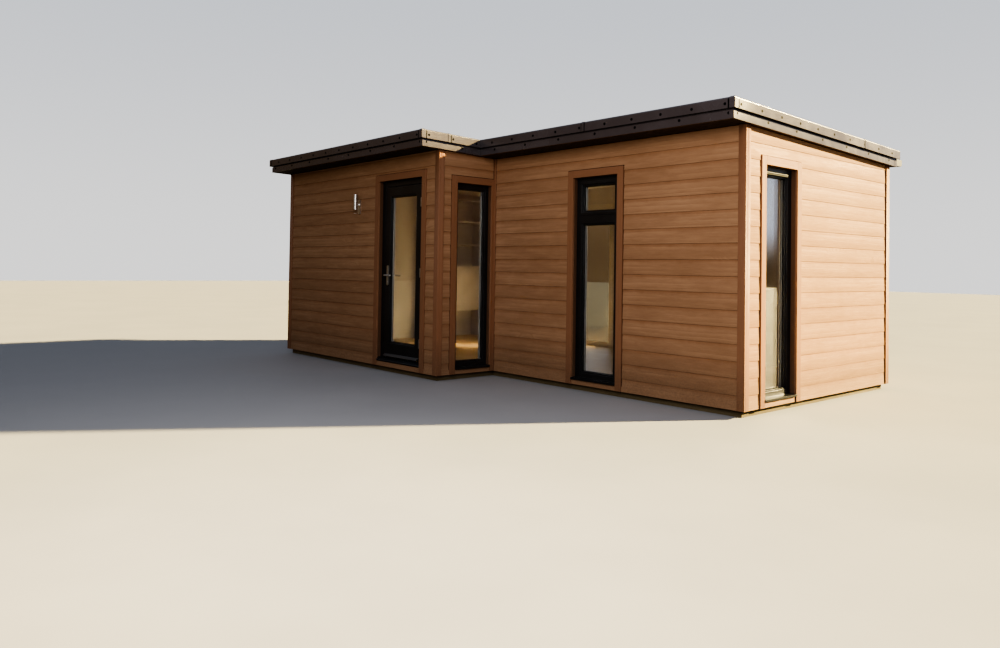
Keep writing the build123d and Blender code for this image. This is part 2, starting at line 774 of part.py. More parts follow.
# Wall light: plate on the boards, arm, and an upright tube with a recess for a lens at each end
light_x = door_x[0] - light_from_door
light_plate_z = door_head - light_plate_below_head
light_tube_z = light_plate_z + light_tube_rise
with BuildPart() as wall_light:
    with BuildSketch(wing_front):
        with Locations((light_x, light_plate_z)):
            Rectangle(light_plate_width, light_plate_height)
    extrude(amount=light_plate_thickness)
    with BuildSketch(wing_front):
        with Locations((light_x, (light_plate_z + light_tube_z) / 2)):
            Rectangle(light_arm_size, light_arm_size)
    extrude(amount=light_stand_off)
    with BuildSketch(Plane.XY.offset(light_tube_z)):
        with Locations((light_x, wing_face - light_stand_off)):
            Circle(light_tube_radius)
    extrude(amount=light_tube_length / 2, both=True)
    for end in (-1, 1):
        with BuildSketch(Plane.XY.offset(light_tube_z + end * light_tube_length / 2)):
            with Locations((light_x, wing_face - light_stand_off)):
                Circle(light_tube_radius - light_tube_wall)
        extrude(amount=-end * light_lens_depth, mode=Mode.SUBTRACT)
pieces["wall_light"] = wall_light.part

# Cabinet and shelves: end panels down to the floor, a back panel, and bays cut between the boards
shelf_y = (back_inner - shelf_from_back_wall - shelf_width, back_inner - shelf_from_back_wall)
bay_y = grown(shelf_y, -shelf_board)
cabinet_top = floor_level + cabinet_height
shelf_top = top_at(shelf_y[1]) - soffit_drop - shelf_headroom
shelf_spacing = (shelf_top - cabinet_top) / shelf_rows
with BuildPart() as shelf_unit:
    with BuildSketch(Plane.YZ.offset(left_inner)):
        rectangle_between(shelf_y, (floor_level, shelf_top))
    extrude(amount=shelf_depth)
    with BuildSketch(Plane.YZ.offset(left_inner + shelf_back)):
        rectangle_between(bay_y, (floor_level, floor_level + cabinet_foot_space))
        for row in range(shelf_rows):
            low = cabinet_top + row * shelf_spacing
            rectangle_between(bay_y, (low, low + shelf_spacing - shelf_board))
    extrude(amount=shelf_depth - shelf_back, mode=Mode.SUBTRACT)
pieces["shelf_unit"] = shelf_unit.part

for node, piece in pieces.items():
    piece.label = node
    export_step(piece, f"parts/{node}.step")
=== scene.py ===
"""Looks of the garden office pod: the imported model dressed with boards, coatings, glass and fittings."""

import math
import random
from contextlib import contextmanager

import bmesh
import bpy
from mathutils import Matrix, Vector


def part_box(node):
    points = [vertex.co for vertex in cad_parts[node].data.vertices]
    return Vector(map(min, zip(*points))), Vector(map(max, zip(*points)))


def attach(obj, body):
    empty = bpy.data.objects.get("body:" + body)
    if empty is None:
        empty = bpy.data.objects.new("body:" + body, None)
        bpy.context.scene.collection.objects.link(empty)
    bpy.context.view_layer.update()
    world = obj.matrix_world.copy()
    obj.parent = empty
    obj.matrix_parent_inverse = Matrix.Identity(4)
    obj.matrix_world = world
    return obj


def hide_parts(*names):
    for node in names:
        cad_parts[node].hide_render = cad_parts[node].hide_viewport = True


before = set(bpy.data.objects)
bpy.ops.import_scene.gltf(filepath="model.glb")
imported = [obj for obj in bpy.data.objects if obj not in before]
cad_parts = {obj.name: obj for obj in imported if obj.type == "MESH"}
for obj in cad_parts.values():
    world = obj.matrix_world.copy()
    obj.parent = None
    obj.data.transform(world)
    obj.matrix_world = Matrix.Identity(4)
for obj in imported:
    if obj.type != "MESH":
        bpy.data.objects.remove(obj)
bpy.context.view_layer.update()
scene = bpy.context.scene

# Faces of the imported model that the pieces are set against, in metres
main_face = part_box("front_wall")[0].y
wing_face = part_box("left_wall")[0].y
back_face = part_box("right_wall")[1].y
right_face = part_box("right_wall")[1].x
left_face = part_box("left_wall")[0].x
return_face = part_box("return_wall")[1].x
floor_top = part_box("main_floor")[1].z
cladding_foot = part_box("front_wall")[0].z

# Roof: its level lines fall to the rear from the main roof's front edge
main_roof_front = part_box("front_kerb")[0].y
wing_roof_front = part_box("wing_kerb")[0].y
roof_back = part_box("right_kerb")[1].y
roof_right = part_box("right_kerb")[1].x
roof_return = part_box("return_kerb")[1].x
kerb_top = 2.484
roof_fall = 0.031
deck_drop = 0.035
soffit_drop = 0.155
fascia_drop = 0.164
lower_tier_top_drop = 0.098
lower_tier_inset = 0.025
cap_leg = 0.048
cover_half = 0.015
bead_half = 0.007
bead_proud = 0.0018
bead_sunk = 0.0005
bead_head_drop = 0.014
bead_foot_drop = 0.087
cover_places = (("front", 1.558), ("right", 2.228), ("return", 0.340))

# Lapped boards
board_pitch = 0.134
first_joint = 0.173
board_foot_stand = 0.0125
board_head_stand = 0.0085
board_gap = 0.0012
joint_half = 0.001
courses = 18

# Trim boards, frames and glass
trim_stand = 0.022
trim_width = 0.070
post_leg = 0.046
bead_in_corner = 0.028
butt_gap = 0.006
gap_strip_stand = 0.007
shadow_gap = 0.0004
lining_thickness = 0.003
lining_tuck = 0.001
lining_proud = 0.0005
frame_recess = 0.038
glass_depth = 0.024
sheet_thickness = 0.004
frame_face = 0.080
return_frame_face = 0.060
sill_face = 0.060
window_setback = 0.032
door_setback = 0.020
glass_rebate = 0.012
threshold_rise = 0.032
notch_drop = 0.013
transom = (1.572, 1.706)

# Walls: how far a piece made facing the front is turned, and where it is then moved
quarter = math.pi / 2
walls = {
    "front": (0, (0, main_face, 0)),
    "wing": (0, (0, wing_face, 0)),
    "side": (quarter, (right_face, 0, 0)),
    "return": (quarter, (return_face, 0, 0)),
    "rear": (2 * quarter, (0, back_face, 0)),
    "left": (-quarter, (left_face, 0, 0)),
}


def roof_level(y, drop=0.0):
    """Height of a plane that lies a given drop under the kerb's top."""
    return kerb_top - roof_fall * (y - main_roof_front) - drop


def corners_of(first, second):
    """The low and the high corner of the box between two points."""
    pairs = list(zip(first, second))
    return tuple(min(pair) for pair in pairs), tuple(max(pair) for pair in pairs)


def grown(ends, amount):
    """A range made longer at both ends."""
    return (ends[0] - amount, ends[1] + amount)


# Handling pieces
def select_only(*pieces):
    """Selects these pieces and makes the first one active."""
    bpy.ops.object.select_all(action="DESELECT")
    for piece in pieces:
        piece.select_set(True)
    bpy.context.view_layer.objects.active = pieces[0]


@contextmanager
def editing(piece):
    """Opens one piece in edit mode with nothing selected in it."""
    select_only(piece)
    bpy.ops.object.mode_set(mode="EDIT")
    bpy.ops.mesh.select_all(action="DESELECT")
    yield bmesh.from_edit_mesh(piece.data)
    bpy.ops.object.mode_set(mode="OBJECT")


def pick(shape, kind, test):
    """In the piece being edited, selects the corners, edges or faces whose middle passes the test."""
    bpy.ops.mesh.select_mode(type={"verts": "VERT", "edges": "EDGE", "faces": "FACE"}[kind])
    bpy.ops.mesh.select_all(action="DESELECT")
    for part in getattr(shape, kind):
        if kind == "verts":
            middle = part.co
        elif kind == "edges":
            middle = (part.verts[0].co + part.verts[1].co) / 2
        else:
            middle = part.calc_center_median()
        part.select = bool(test(middle))
    shape.select_flush_mode()
    bpy.ops.object.mode_set(mode="OBJECT")
    bpy.ops.object.mode_set(mode="EDIT")
    return bmesh.from_edit_mesh(bpy.context.active_object.data)


def apply_place(piece):
    """Moves a piece's place, turn and size into its mesh."""
    select_only(piece)
    bpy.ops.object.transform_apply(location=True, rotation=True, scale=True)
    return piece


def block(name, low, high):
    """A rectangular blank between two corners."""
    middle = [(a + b) / 2 for a, b in zip(low, high)]
    size = [b - a for a, b in zip(low, high)]
    bpy.ops.mesh.primitive_cube_add(size=1, location=middle)
    piece = bpy.context.active_object
    piece.name = name
    piece.scale = size
    return apply_place(piece)


def apply_modifier(piece, kind, **settings):
    """Adds a modifier with the given settings and applies it."""
    select_only(piece)
    modifier = piece.modifiers.new(kind.title(), kind)
    for setting, value in settings.items():
        setattr(modifier, setting, value)
    bpy.ops.object.modifier_apply(modifier=modifier.name)
    return piece


def ease_edges(piece, width, angle=30):
    """Rounds the sharp edges of a piece and smooths what is then nearly flat."""
    apply_modifier(piece, "BEVEL", width=width, segments=2, limit_method="ANGLE",
                   angle_limit=math.radians(angle), use_clamp_overlap=True)
    select_only(piece)
    bpy.ops.object.shade_smooth_by_angle(angle=math.radians(40))
    return apply_modifier(piece, "WEIGHTED_NORMAL", keep_sharp=True)


def board(name, low, high, edge=0.002):
    """A board between two corners with its edges eased."""
    return ease_edges(block(name, low, high), edge)


def join(name, pieces):
    """Makes several pieces one."""
    select_only(*pieces)
    if len(pieces) > 1:
        bpy.ops.object.join()
    pieces[0].name = name
    pieces[0].data.name = name
    return pieces[0]


def copy_at(piece, offset):
    """A copy with its own mesh, moved by an offset."""
    select_only(piece)
    bpy.ops.object.duplicate(linked=False)
    twin = bpy.context.active_object
    twin.location = offset
    return apply_place(twin)


def set_on_wall(piece, wall):
    """Turns a piece that was made facing the front and moves it against a wall."""
    turn, place = walls[wall]
    piece.rotation_euler.z = turn
    piece.location = place
    return apply_place(piece)


def cut_away(piece, low, high):
    """Cuts a rectangular notch out of a piece."""
    cutter = block("cutter", low, high)
    apply_modifier(piece, "BOOLEAN", object=cutter, operation="DIFFERENCE", solver="EXACT")
    bpy.data.objects.remove(cutter)
    return piece


def trim_off(piece, point, normal):
    """Takes off what lies beyond a plane, on the side that its normal points to, and closes the cut."""
    with editing(piece):
        bpy.ops.mesh.select_all(action="SELECT")
        bpy.ops.mesh.bisect(plane_co=point, plane_no=normal, use_fill=True, clear_outer=True)
    return piece


def trim_to_roof(piece, drop):
    """Takes off what rises above a plane that lies a given drop under the kerb's top."""
    return trim_off(piece, (0, main_roof_front, kerb_top - drop), (0, roof_fall, 1))


def follow_roof(piece, drop=0.0):
    """Lifts a piece that was made level onto a plane that lies a given drop under the kerb's top."""
    with editing(piece) as shape:
        for corner in shape.verts:
            corner.co.z += roof_level(corner.co.y, drop)
        bmesh.update_edit_mesh(piece.data)
    return piece


def ring(name, across, up, width, front, depth, edge=0.0):
    """A flat frame facing the front: outer size across and up, band width, and its depth behind front."""
    bpy.ops.mesh.primitive_plane_add(size=1, rotation=(quarter, 0, 0))
    piece = bpy.context.active_object
    piece.name = name
    piece.location = (sum(across) / 2, front, sum(up) / 2)
    piece.scale = (across[1] - across[0], up[1] - up[0], 1)
    apply_place(piece)
    with editing(piece):
        bpy.ops.mesh.select_all(action="SELECT")
        bpy.ops.mesh.inset(thickness=width)
        bpy.ops.mesh.delete(type="FACE")
    apply_modifier(piece, "SOLIDIFY", thickness=depth, offset=-1.0)
    return ease_edges(piece, edge) if edge else piece


def tube(name, start, end, radius, sides=24):
    """A round bar from one point to another, its ends eased."""
    run = Vector(end) - Vector(start)
    bpy.ops.mesh.primitive_cylinder_add(vertices=sides, radius=radius, depth=run.length)
    piece = bpy.context.active_object
    piece.name = name
    piece.rotation_euler = run.to_track_quat("Z", "Y").to_euler()
    piece.location = (Vector(start) + Vector(end)) / 2
    apply_place(piece)
    return ease_edges(piece, min(radius * 0.12, 0.002), angle=50)


def finish_piece(piece, material, body="building"):
    """Gives a piece its material, in its one slot, and its body."""
    piece.data.materials.clear()
    piece.data.materials.append(material)
    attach(piece, body)
    return piece


def dressed(node, edge, material, body="building"):
    """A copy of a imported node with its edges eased, which stands for the node."""
    piece = bpy.data.objects.new(node + "_dressed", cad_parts[node].data.copy())
    scene.collection.objects.link(piece)
    with editing(piece):
        bpy.ops.mesh.select_all(action="SELECT")
        bpy.ops.mesh.customdata_custom_splitnormals_clear()
        bpy.ops.mesh.remove_doubles(threshold=0.00002)
        bpy.ops.mesh.dissolve_limited(angle_limit=math.radians(0.4))
    ease_edges(piece, edge)
    finish_piece(piece, material, body)
    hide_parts(node)
    return piece


# Shader building
def part_of(tree, kind, values=None, **settings):
    """Adds a node to a shader tree, with its settings and with values on its inputs."""
    node = tree.nodes.new(kind)
    for setting, value in settings.items():
        setattr(node, setting, value)
    for socket, value in (values or {}).items():
        if isinstance(value, bpy.types.NodeSocket):
            tree.links.new(value, node.inputs[socket])
        else:
            node.inputs[socket].default_value = value
    return node


def sums(tree, operation, first, second=0.0):
    """A maths node on one or two numbers; returns its result."""
    return part_of(tree, "ShaderNodeMath", {0: first, 1: second}, operation=operation).outputs[0]


def times(tree, first, second):
    """One number times another."""
    return sums(tree, "MULTIPLY", first, second)


def plus(tree, first, second):
    """One number added to another."""
    return sums(tree, "ADD", first, second)


def within(tree, value, low, high):
    """1 where a value lies between two limits, otherwise 0."""
    return times(tree, sums(tree, "GREATER_THAN", value, low), sums(tree, "LESS_THAN", value, high))


def ramp(tree, value, low, high, out_low=0.0, out_high=1.0):
    """Runs smoothly from one number to another as value goes from low to high."""
    node = part_of(tree, "ShaderNodeMapRange",
                   {"Value": value, "From Min": low, "From Max": high, "To Min": out_low, "To Max": out_high},
                   interpolation_type="SMOOTHSTEP")
    return node.outputs["Result"]


def noise(tree, vector, scale, detail=3.0, roughness=0.55):
    """Noise over a vector; returns its value."""
    node = part_of(tree, "ShaderNodeTexNoise",
                   {"Vector": vector, "Scale": scale, "Detail": detail, "Roughness": roughness})
    return node.outputs["Fac"]


def vector_of(tree, x, y, z):
    """Three numbers as one vector."""
    return part_of(tree, "ShaderNodeCombineXYZ", {"X": x, "Y": y, "Z": z}).outputs[0]


def blend_colours(tree, share, first, second, way="MIX"):
    """Mixes two colours by a share."""
    node = tree.nodes.new("ShaderNodeMix")
    node.data_type = "RGBA"
    node.blend_type = way
    for index, value in ((0, share), (6, first), (7, second)):
        if isinstance(value, bpy.types.NodeSocket):
            tree.links.new(value, node.inputs[index])
        elif index == 0:
            node.inputs[index].default_value = value
        else:
            node.inputs[index].default_value = (*value[:3], 1)
    return node.outputs[2]


def shader_group(name, inputs, outputs):
    """A node group with number inputs and defaults, and named outputs; returns the group and its two ends."""
    group = bpy.data.node_groups.new(name, "ShaderNodeTree")
    for title, value in inputs.items():
        kind = "NodeSocketVector" if value is None else "NodeSocketFloat"
        socket = group.interface.new_socket(name=title, in_out="INPUT", socket_type=kind)
        if value is not None:
            socket.default_value = value
    for title in outputs:
        group.interface.new_socket(name=title, in_out="OUTPUT", socket_type="NodeSocketFloat")
    entry = group.nodes.new("NodeGroupInput")
    leave = group.nodes.new("NodeGroupOutput")
    return group, entry.outputs, leave.inputs


def use_group(tree, group, **values):
    """Places a group in a material with its own values; returns its outputs."""
    node = tree.nodes.new("ShaderNodeGroup")
    node.node_tree = group
    for title, value in values.items():
        socket = node.inputs[title.replace("_", " ").capitalize()]
        if isinstance(value, bpy.types.NodeSocket):
            tree.links.new(value, socket)
        else:
            socket.default_value = value
    return node.outputs


def new_material(name, **values):
    """A material and its node tree; values are set on the shader's own sockets."""
    material = bpy.data.materials.new(name)
    material.use_nodes = True
    tree = material.node_tree
    shader = tree.nodes["Principled BSDF"]
    for title, value in values.items():
        shader.inputs[title.replace("_", " ").title().replace("Ior", "IOR")].default_value = value
    return material, tree, shader


def feed(tree, shader, socket, value):
    """Links a result to one of the shader's sockets."""
    tree.links.new(value, shader.inputs[socket])


def surfaced(material, shader, colour, roughness, height, distance):
    """Gives a material its colour, its roughness and a relief: a height of 0 to 1 times a distance."""
    tree = material.node_tree
    feed(tree, shader, "Base Color", colour)
    feed(tree, shader, "Roughness", roughness)
    bump = part_of(tree, "ShaderNodeBump", {"Height": height, "Distance": distance, "Strength": 1.0})
    feed(tree, shader, "Normal", bump.outputs["Normal"])
    return material


def place_in(tree):
    """The piece's own coordinates, whole and by axis."""
    whole = part_of(tree, "ShaderNodeTexCoord").outputs["Object"]
    split = part_of(tree, "ShaderNodeSeparateXYZ", {0: whole}).outputs
    return whole, split[0], split[1], split[2]


def facing_up(tree):
    """How far the surface faces up, from -1 to 1."""
    normal = part_of(tree, "ShaderNodeTexCoord").outputs["Normal"]
    return part_of(tree, "ShaderNodeSeparateXYZ", {0: normal}).outputs["Z"]


# Groups that several materials share
indoors, _, indoors_out = shader_group("indoors", {}, ["Inside"])
_, x, y, _ = place_in(indoors)
glass_line = frame_recess + window_setback
door_glass_line = frame_recess + door_setback
main_room = times(indoors, within(indoors, x, left_face + glass_line, right_face - glass_line),
                  within(indoors, y, main_face + glass_line, back_face - glass_line))
wing_room = times(indoors, within(indoors, x, left_face + glass_line, return_face - glass_line),
                  within(indoors, y, wing_face + door_glass_line, main_face + 0.2))
indoors.links.new(sums(indoors, "MAXIMUM", main_room, wing_room), indoors_out["Inside"])

grain, grain_in, grain_out = shader_group(
    "board_grain", {"Grain space": None, "Figure": 1.0, "Fineness": 1.0}, ["Shade", "Height", "Knots"])


def grain_scaled(along, across):
    """The grain space stretched along and across the board."""
    return part_of(grain, "ShaderNodeVectorMath", {0: grain_in["Grain space"], 1: (along, across, 1.0)},
                   operation="MULTIPLY").outputs[0]


scatter = part_of(grain, "ShaderNodeTexVoronoi",
                  {"Vector": grain_scaled(1.3, 3.4), "Scale": 1.0, "Randomness": 0.9})
lot = part_of(grain, "ShaderNodeSeparateXYZ", {0: scatter.outputs["Color"]}).outputs[0]
kept = sums(grain, "GREATER_THAN", lot, 0.62)
knots = times(grain, ramp(grain, scatter.outputs["Distance"], 0.010, 0.026, 1.0, 0.0), kept)
bulge = times(grain, ramp(grain, scatter.outputs["Distance"], 0.0, 0.30, 1.6, 0.0), kept)
bent = part_of(grain, "ShaderNodeVectorMath",
               {0: grain_scaled(0.55, 9.0), 1: vector_of(grain, 0.0, bulge, 0.0)},
               operation="ADD").outputs[0]
waves = part_of(grain, "ShaderNodeTexWave",
                {"Vector": bent, "Scale": 0.8, "Distortion": 6.0, "Detail": 3.0, "Detail Scale": 0.8,
                 "Detail Roughness": 0.6}, wave_type="BANDS", bands_direction="Y", wave_profile="SAW")
dashes = noise(grain, grain_scaled(11.0, 190.0), grain_in["Fineness"], 3.0, 0.6)
fibres = noise(grain, grain_scaled(3.2, 70.0), grain_in["Fineness"], 4.0, 0.65)
broad = noise(grain, grain_scaled(1.1, 9.0), 1.0, 3.0, 0.5)
blotches = noise(grain, grain_scaled(4.5, 22.0), 1.0, 4.0, 0.65)
banded = times(grain, waves.outputs["Fac"], ramp(grain, broad, 0.42, 0.62))
figure = times(grain, banded, grain_in["Figure"])
texture = plus(grain, times(grain, dashes, 0.30),
               plus(grain, times(grain, fibres, 0.25), times(grain, blotches, 0.45)))
shade = plus(grain, times(grain, figure, 0.22), times(grain, texture, 0.9))
emboss = plus(grain, times(grain, figure, 0.45),
              times(grain, ramp(grain, plus(grain, dashes, fibres), 0.7, 1.3), 0.55))
grain.links.new(shade, grain_out["Shade"])
grain.links.new(sums(grain, "SUBTRACT", emboss, times(grain, knots, 0.6)), grain_out["Height"])
grain.links.new(knots, grain_out["Knots"])

weather, weather_in, weather_out = shader_group(
    "weather", {"Splash height": 0.35, "Patch size": 1.0}, ["Soil", "Patches"])
whole, _, _, z = place_in(weather)
ragged = plus(weather, z, times(weather, noise(weather, whole, 5.0, 5.0, 0.6), -0.22))
splash = ramp(weather, ragged, sums(weather, "SUBTRACT", weather_in["Splash height"], 0.45),
              weather_in["Splash height"], 1.0, 0.0)
speckle = ramp(weather, noise(weather, whole, 90.0, 4.0, 0.7), 0.42, 0.62)
soil = times(weather, splash, plus(weather, times(weather, speckle, 0.5), 0.5))
patches = noise(weather, whole, times(weather, weather_in["Patch size"], 1.7), 4.0, 0.6)
weather.links.new(soil, weather_out["Soil"])
weather.links.new(patches, weather_out["Patches"])

mottle, mottle_in, mottle_out = shader_group("mottle", {"Size": 1.0}, ["Cloud", "Grit"])
whole = place_in(mottle)[0]
cloud = noise(mottle, whole, sums(mottle, "DIVIDE", 2.0, mottle_in["Size"]), 4.0, 0.6)
grit = noise(mottle, whole, sums(mottle, "DIVIDE", 900.0, mottle_in["Size"]), 2.0, 0.5)
mottle.links.new(cloud, mottle_out["Cloud"])
mottle.links.new(grit, mottle_out["Grit"])


# Materials
def timber_colours(tree, shade, dark, light, amount=1.0):
    """A colour that follows the grain between a dark and a light tone."""
    return blend_colours(tree, ramp(tree, shade, 0.5 - 0.3 / amount, 0.5 + 0.3 / amount), dark, light)


def cloudy(tree, clouded, dark, light):
    """A colour that drifts between two tones with the cloud of the mottle group."""
    return blend_colours(tree, ramp(tree, clouded["Cloud"], 0.3, 0.7), dark, light)


def cloudy_gloss(tree, clouded, low, high):
    """Roughness that drifts between two values with the cloud of the mottle group."""
    return ramp(tree, clouded["Cloud"], 0.25, 0.75, low, high)


def weatherboard_material():
    """Factory-coated boards with a pressed wood grain; each board has its own tone, with painted shade and a
    painted shadow line under each board's lap.
    """
    material, tree, shader = new_material("weatherboard", specular_ior_level=0.35)
    _, x, y, z = place_in(tree)
    tone = part_of(tree, "ShaderNodeAttribute", attribute_name="board_tone").outputs["Fac"]
    space = vector_of(tree, plus(tree, x, y), z, times(tree, tone, 61.0))
    grained = use_group(tree, grain, grain_space=space, figure=1.0, fineness=1.0)
    colour = timber_colours(tree, grained["Shade"], (0.385, 0.214, 0.120), (0.560, 0.338, 0.206), 0.9)
    toned = blend_colours(tree, ramp(tree, tone, 0.0, 1.0, 0.0, 0.4), colour,
                          blend_colours(tree, 1.0, colour, (0.84, 0.80, 0.76), "MULTIPLY"))
    above_joint = sums(tree, "SUBTRACT", z, first_joint - 4 * board_pitch)
    place_up = sums(tree, "FRACT", sums(tree, "DIVIDE", above_joint, board_pitch))
    along = vector_of(tree, times(tree, plus(tree, x, y), 7.0), tone, 0.0)
    uneven = noise(tree, along, 1.0, 4.0, 0.7)
    # Painted shadow: a thin dark line along the top of each board, just under the drip edge of the board
    # above.
    line = times(tree, ramp(tree, place_up, 0.965, 0.995), ramp(tree, uneven, 0.35, 0.65, 0.0, 0.25))
    # Painted shade: the top of each board darkens softly, with a ragged edge, towards the lap of the board
    # above.
    reach = plus(tree, place_up, times(tree, sums(tree, "SUBTRACT", uneven, 0.5), 0.35))
    painted_lap_shade = ramp(tree, reach, 0.66, 1.05, 0.0, 0.55)
    knotted = blend_colours(tree, times(tree, grained["Knots"], 0.45), toned, (0.20, 0.105, 0.055))
    lap_shade_colour = blend_colours(tree, 1.0, knotted, (0.66, 0.49, 0.34), "MULTIPLY")
    with_lap_shade = blend_colours(tree, painted_lap_shade, knotted, lap_shade_colour)
    shaded = blend_colours(tree, line, with_lap_shade, (0.080, 0.040, 0.021))
    weathered = use_group(tree, weather, splash_height=0.42)
    patchy = ramp(tree, weathered["Patches"], 0.35, 0.75, 0.0, 0.18)
    patched = blend_colours(tree, patchy, shaded, (0.30, 0.16, 0.08))
    soiled = blend_colours(tree, times(tree, weathered["Soil"], 0.45), patched, (0.14, 0.10, 0.065))
    return surfaced(material, shader, soiled,
                    ramp(tree, grained["Height"], 0.1, 0.9, 0.72, 0.5), grained["Height"], 0.0009)


def trim_material(name, upright, dark=(0.300, 0.145, 0.078), light=(0.380, 0.190, 0.106)):
    """Smooth-sawn trim boards, a little redder than the cladding, with the grain along the board."""
    material, tree, shader = new_material(name, specular_ior_level=0.35)
    _, x, y, z = place_in(tree)
    level = plus(tree, x, y)
    spread = sums(tree, "SUBTRACT", x, y)
    space = vector_of(tree, z, level, spread) if upright else vector_of(tree, level, z, spread)
    grained = use_group(tree, grain, grain_space=space, figure=0.6, fineness=1.3)
    colour = timber_colours(tree, grained["Shade"], dark, light, 0.8)
    weathered = use_group(tree, weather, splash_height=0.42)
    soiled = blend_colours(tree, times(tree, weathered["Soil"], 0.5), colour, (0.12, 0.085, 0.055))
    return surfaced(material, shader, soiled,
                    ramp(tree, grained["Height"], 0.1, 0.9, 0.66, 0.48), grained["Height"], 0.0005)


def coated_metal_material(name, dark, light, roughness, dusty):
    """Plastic-coated sheet: faint orange peel, cloudy gloss and dust on what faces up."""
    material, tree, shader = new_material(name, coat_weight=0.06, coat_roughness=0.3, specular_ior_level=0.5)
    clouded = use_group(tree, mottle, size=1.0)
    weathered = use_group(tree, weather, splash_height=-1.0, patch_size=3.0)
    colour = cloudy(tree, clouded, dark, light)
    settled = ramp(tree, weathered["Patches"], 0.3, 0.7, 0.35 * dusty, dusty)
    dust = times(tree, ramp(tree, facing_up(tree), 0.2, 0.95), settled)
    clean = ramp(tree, clouded["Cloud"], 0.25, 0.75, roughness - 0.06, roughness + 0.08)
    return surfaced(material, shader, blend_colours(tree, dust, colour, (0.24, 0.22, 0.19)),
                    plus(tree, clean, times(tree, dust, 0.4)), clouded["Grit"], 0.00025)


def frame_material():
    """Window and door frames: black outside, white on the room side of the glass line."""
    material, tree, shader = new_material("frame_black_outside_white_inside")
    inside = use_group(tree, indoors)["Inside"]
    clouded = use_group(tree, mottle, size=0.6)
    black = cloudy(tree, clouded, (0.0115, 0.0115, 0.0130), (0.019, 0.019, 0.021))
    white = cloudy(tree, clouded, (0.58, 0.56, 0.53), (0.66, 0.64, 0.61))
    return surfaced(material, shader, blend_colours(tree, inside, black, white),
                    cloudy_gloss(tree, clouded, 0.32, 0.42), clouded["Grit"], 0.0002)


def wall_panel_material():
    """Wall panels: painted plaster in the rooms, bare coated board where the outside shows, kept near black
    as painted shade in the gaps between boards.
    """
    material, tree, shader = new_material("wall_panel")
    inside = use_group(tree, indoors)["Inside"]
    clouded = use_group(tree, mottle, size=0.8)
    roller = noise(tree, place_in(tree)[0], 420.0, 2.0, 0.5)
    paint = cloudy(tree, clouded, (0.50, 0.485, 0.50), (0.56, 0.54, 0.555))
    # The outside colour is the coated board's own dark colour, darkened further as painted shade where it
    # shows between the boards.
    outside = cloudy(tree, clouded, (0.030, 0.020, 0.014), (0.045, 0.030, 0.021))
    return surfaced(material, shader, blend_colours(tree, inside, outside, paint),
                    ramp(tree, clouded["Cloud"], 0.3, 0.7, 0.62, 0.75), roller, 0.0003)


def roof_deck_material():
    """Roof decks: weathered membrane on top, white ceiling in the rooms, brown soffit outside."""
    material, tree, shader = new_material("roof_deck", specular_ior_level=0.25)
    inside = use_group(tree, indoors)["Inside"]
    weathered = use_group(tree, weather, splash_height=-1.0, patch_size=1.0)
    clouded = use_group(tree, mottle, size=2.0)
    membrane = blend_colours(tree, ramp(tree, weathered["Patches"], 0.35, 0.7), (0.062, 0.062, 0.063),
                             (0.092, 0.090, 0.086))
    ceiling = blend_colours(tree, inside, (0.12, 0.065, 0.04), (0.60, 0.59, 0.60))
    on_top = sums(tree, "GREATER_THAN", facing_up(tree), 0.0)
    return surfaced(material, shader, blend_colours(tree, on_top, ceiling, membrane),
                    ramp(tree, weathered["Patches"], 0.3, 0.7, 0.74, 0.84), clouded["Grit"], 0.0005)


def glass_material():
    """Clear sealed-unit glass that lets lamp light through to the rooms."""
    material, tree, shader = new_material("clear_glass", base_color=(0.985, 0.985, 0.980, 1), roughness=0.0,
                                          ior=1.5, transmission_weight=1.0)
    open_to_light = part_of(tree, "ShaderNodeBsdfTransparent", {"Color": (0.90, 0.90, 0.89, 1)})
    paths = part_of(tree, "ShaderNodeLightPath")
    mixed = part_of(tree, "ShaderNodeMixShader",
                    {0: paths.outputs["Is Shadow Ray"], 1: shader.outputs[0], 2: open_to_light.outputs[0]})
    tree.links.new(mixed.outputs[0], tree.nodes["Material Output"].inputs["Surface"])
    film = noise(tree, place_in(tree)[0], 6.0, 4.0, 0.6)
    feed(tree, shader, "Roughness", ramp(tree, film, 0.45, 0.75, 0.0, 0.035))
    return material


def plastic_material(name, dark, light, roughness, gleam=0.5):
    """Moulded plastic or rubber with a faintly cloudy gloss."""
    material, tree, shader = new_material(name, specular_ior_level=gleam)
    clouded = use_group(tree, mottle, size=0.5)
    return surfaced(material, shader, cloudy(tree, clouded, dark, light),
                    cloudy_gloss(tree, clouded, roughness - 0.05, roughness + 0.07), clouded["Grit"], 0.0002)


def brushed_steel_material():
    """Stainless steel brushed along the piece."""
    material, tree, shader = new_material("brushed_steel", metallic=1.0)
    _, x, y, z = place_in(tree)
    stretched = vector_of(tree, times(tree, x, 2600.0), times(tree, y, 2600.0), times(tree, z, 25.0))
    lines = noise(tree, stretched, 1.0, 2.0, 0.5)
    clouded = use_group(tree, mottle, size=0.2)
    return surfaced(material, shader, cloudy(tree, clouded, (0.50, 0.49, 0.475), (0.62, 0.61, 0.595)),
                    ramp(tree, lines, 0.3, 0.7, 0.26, 0.40), lines, 0.00006)


def shelf_material():
    """White laminate with a very fine pebble."""
    material, tree, shader = new_material("white_laminate", specular_ior_level=0.4)
    clouded = use_group(tree, mottle, size=0.4)
    return surfaced(material, shader, cloudy(tree, clouded, (0.44, 0.43, 0.44), (0.50, 0.49, 0.50)),
                    cloudy_gloss(tree, clouded, 0.36, 0.46), clouded["Grit"], 0.00015)


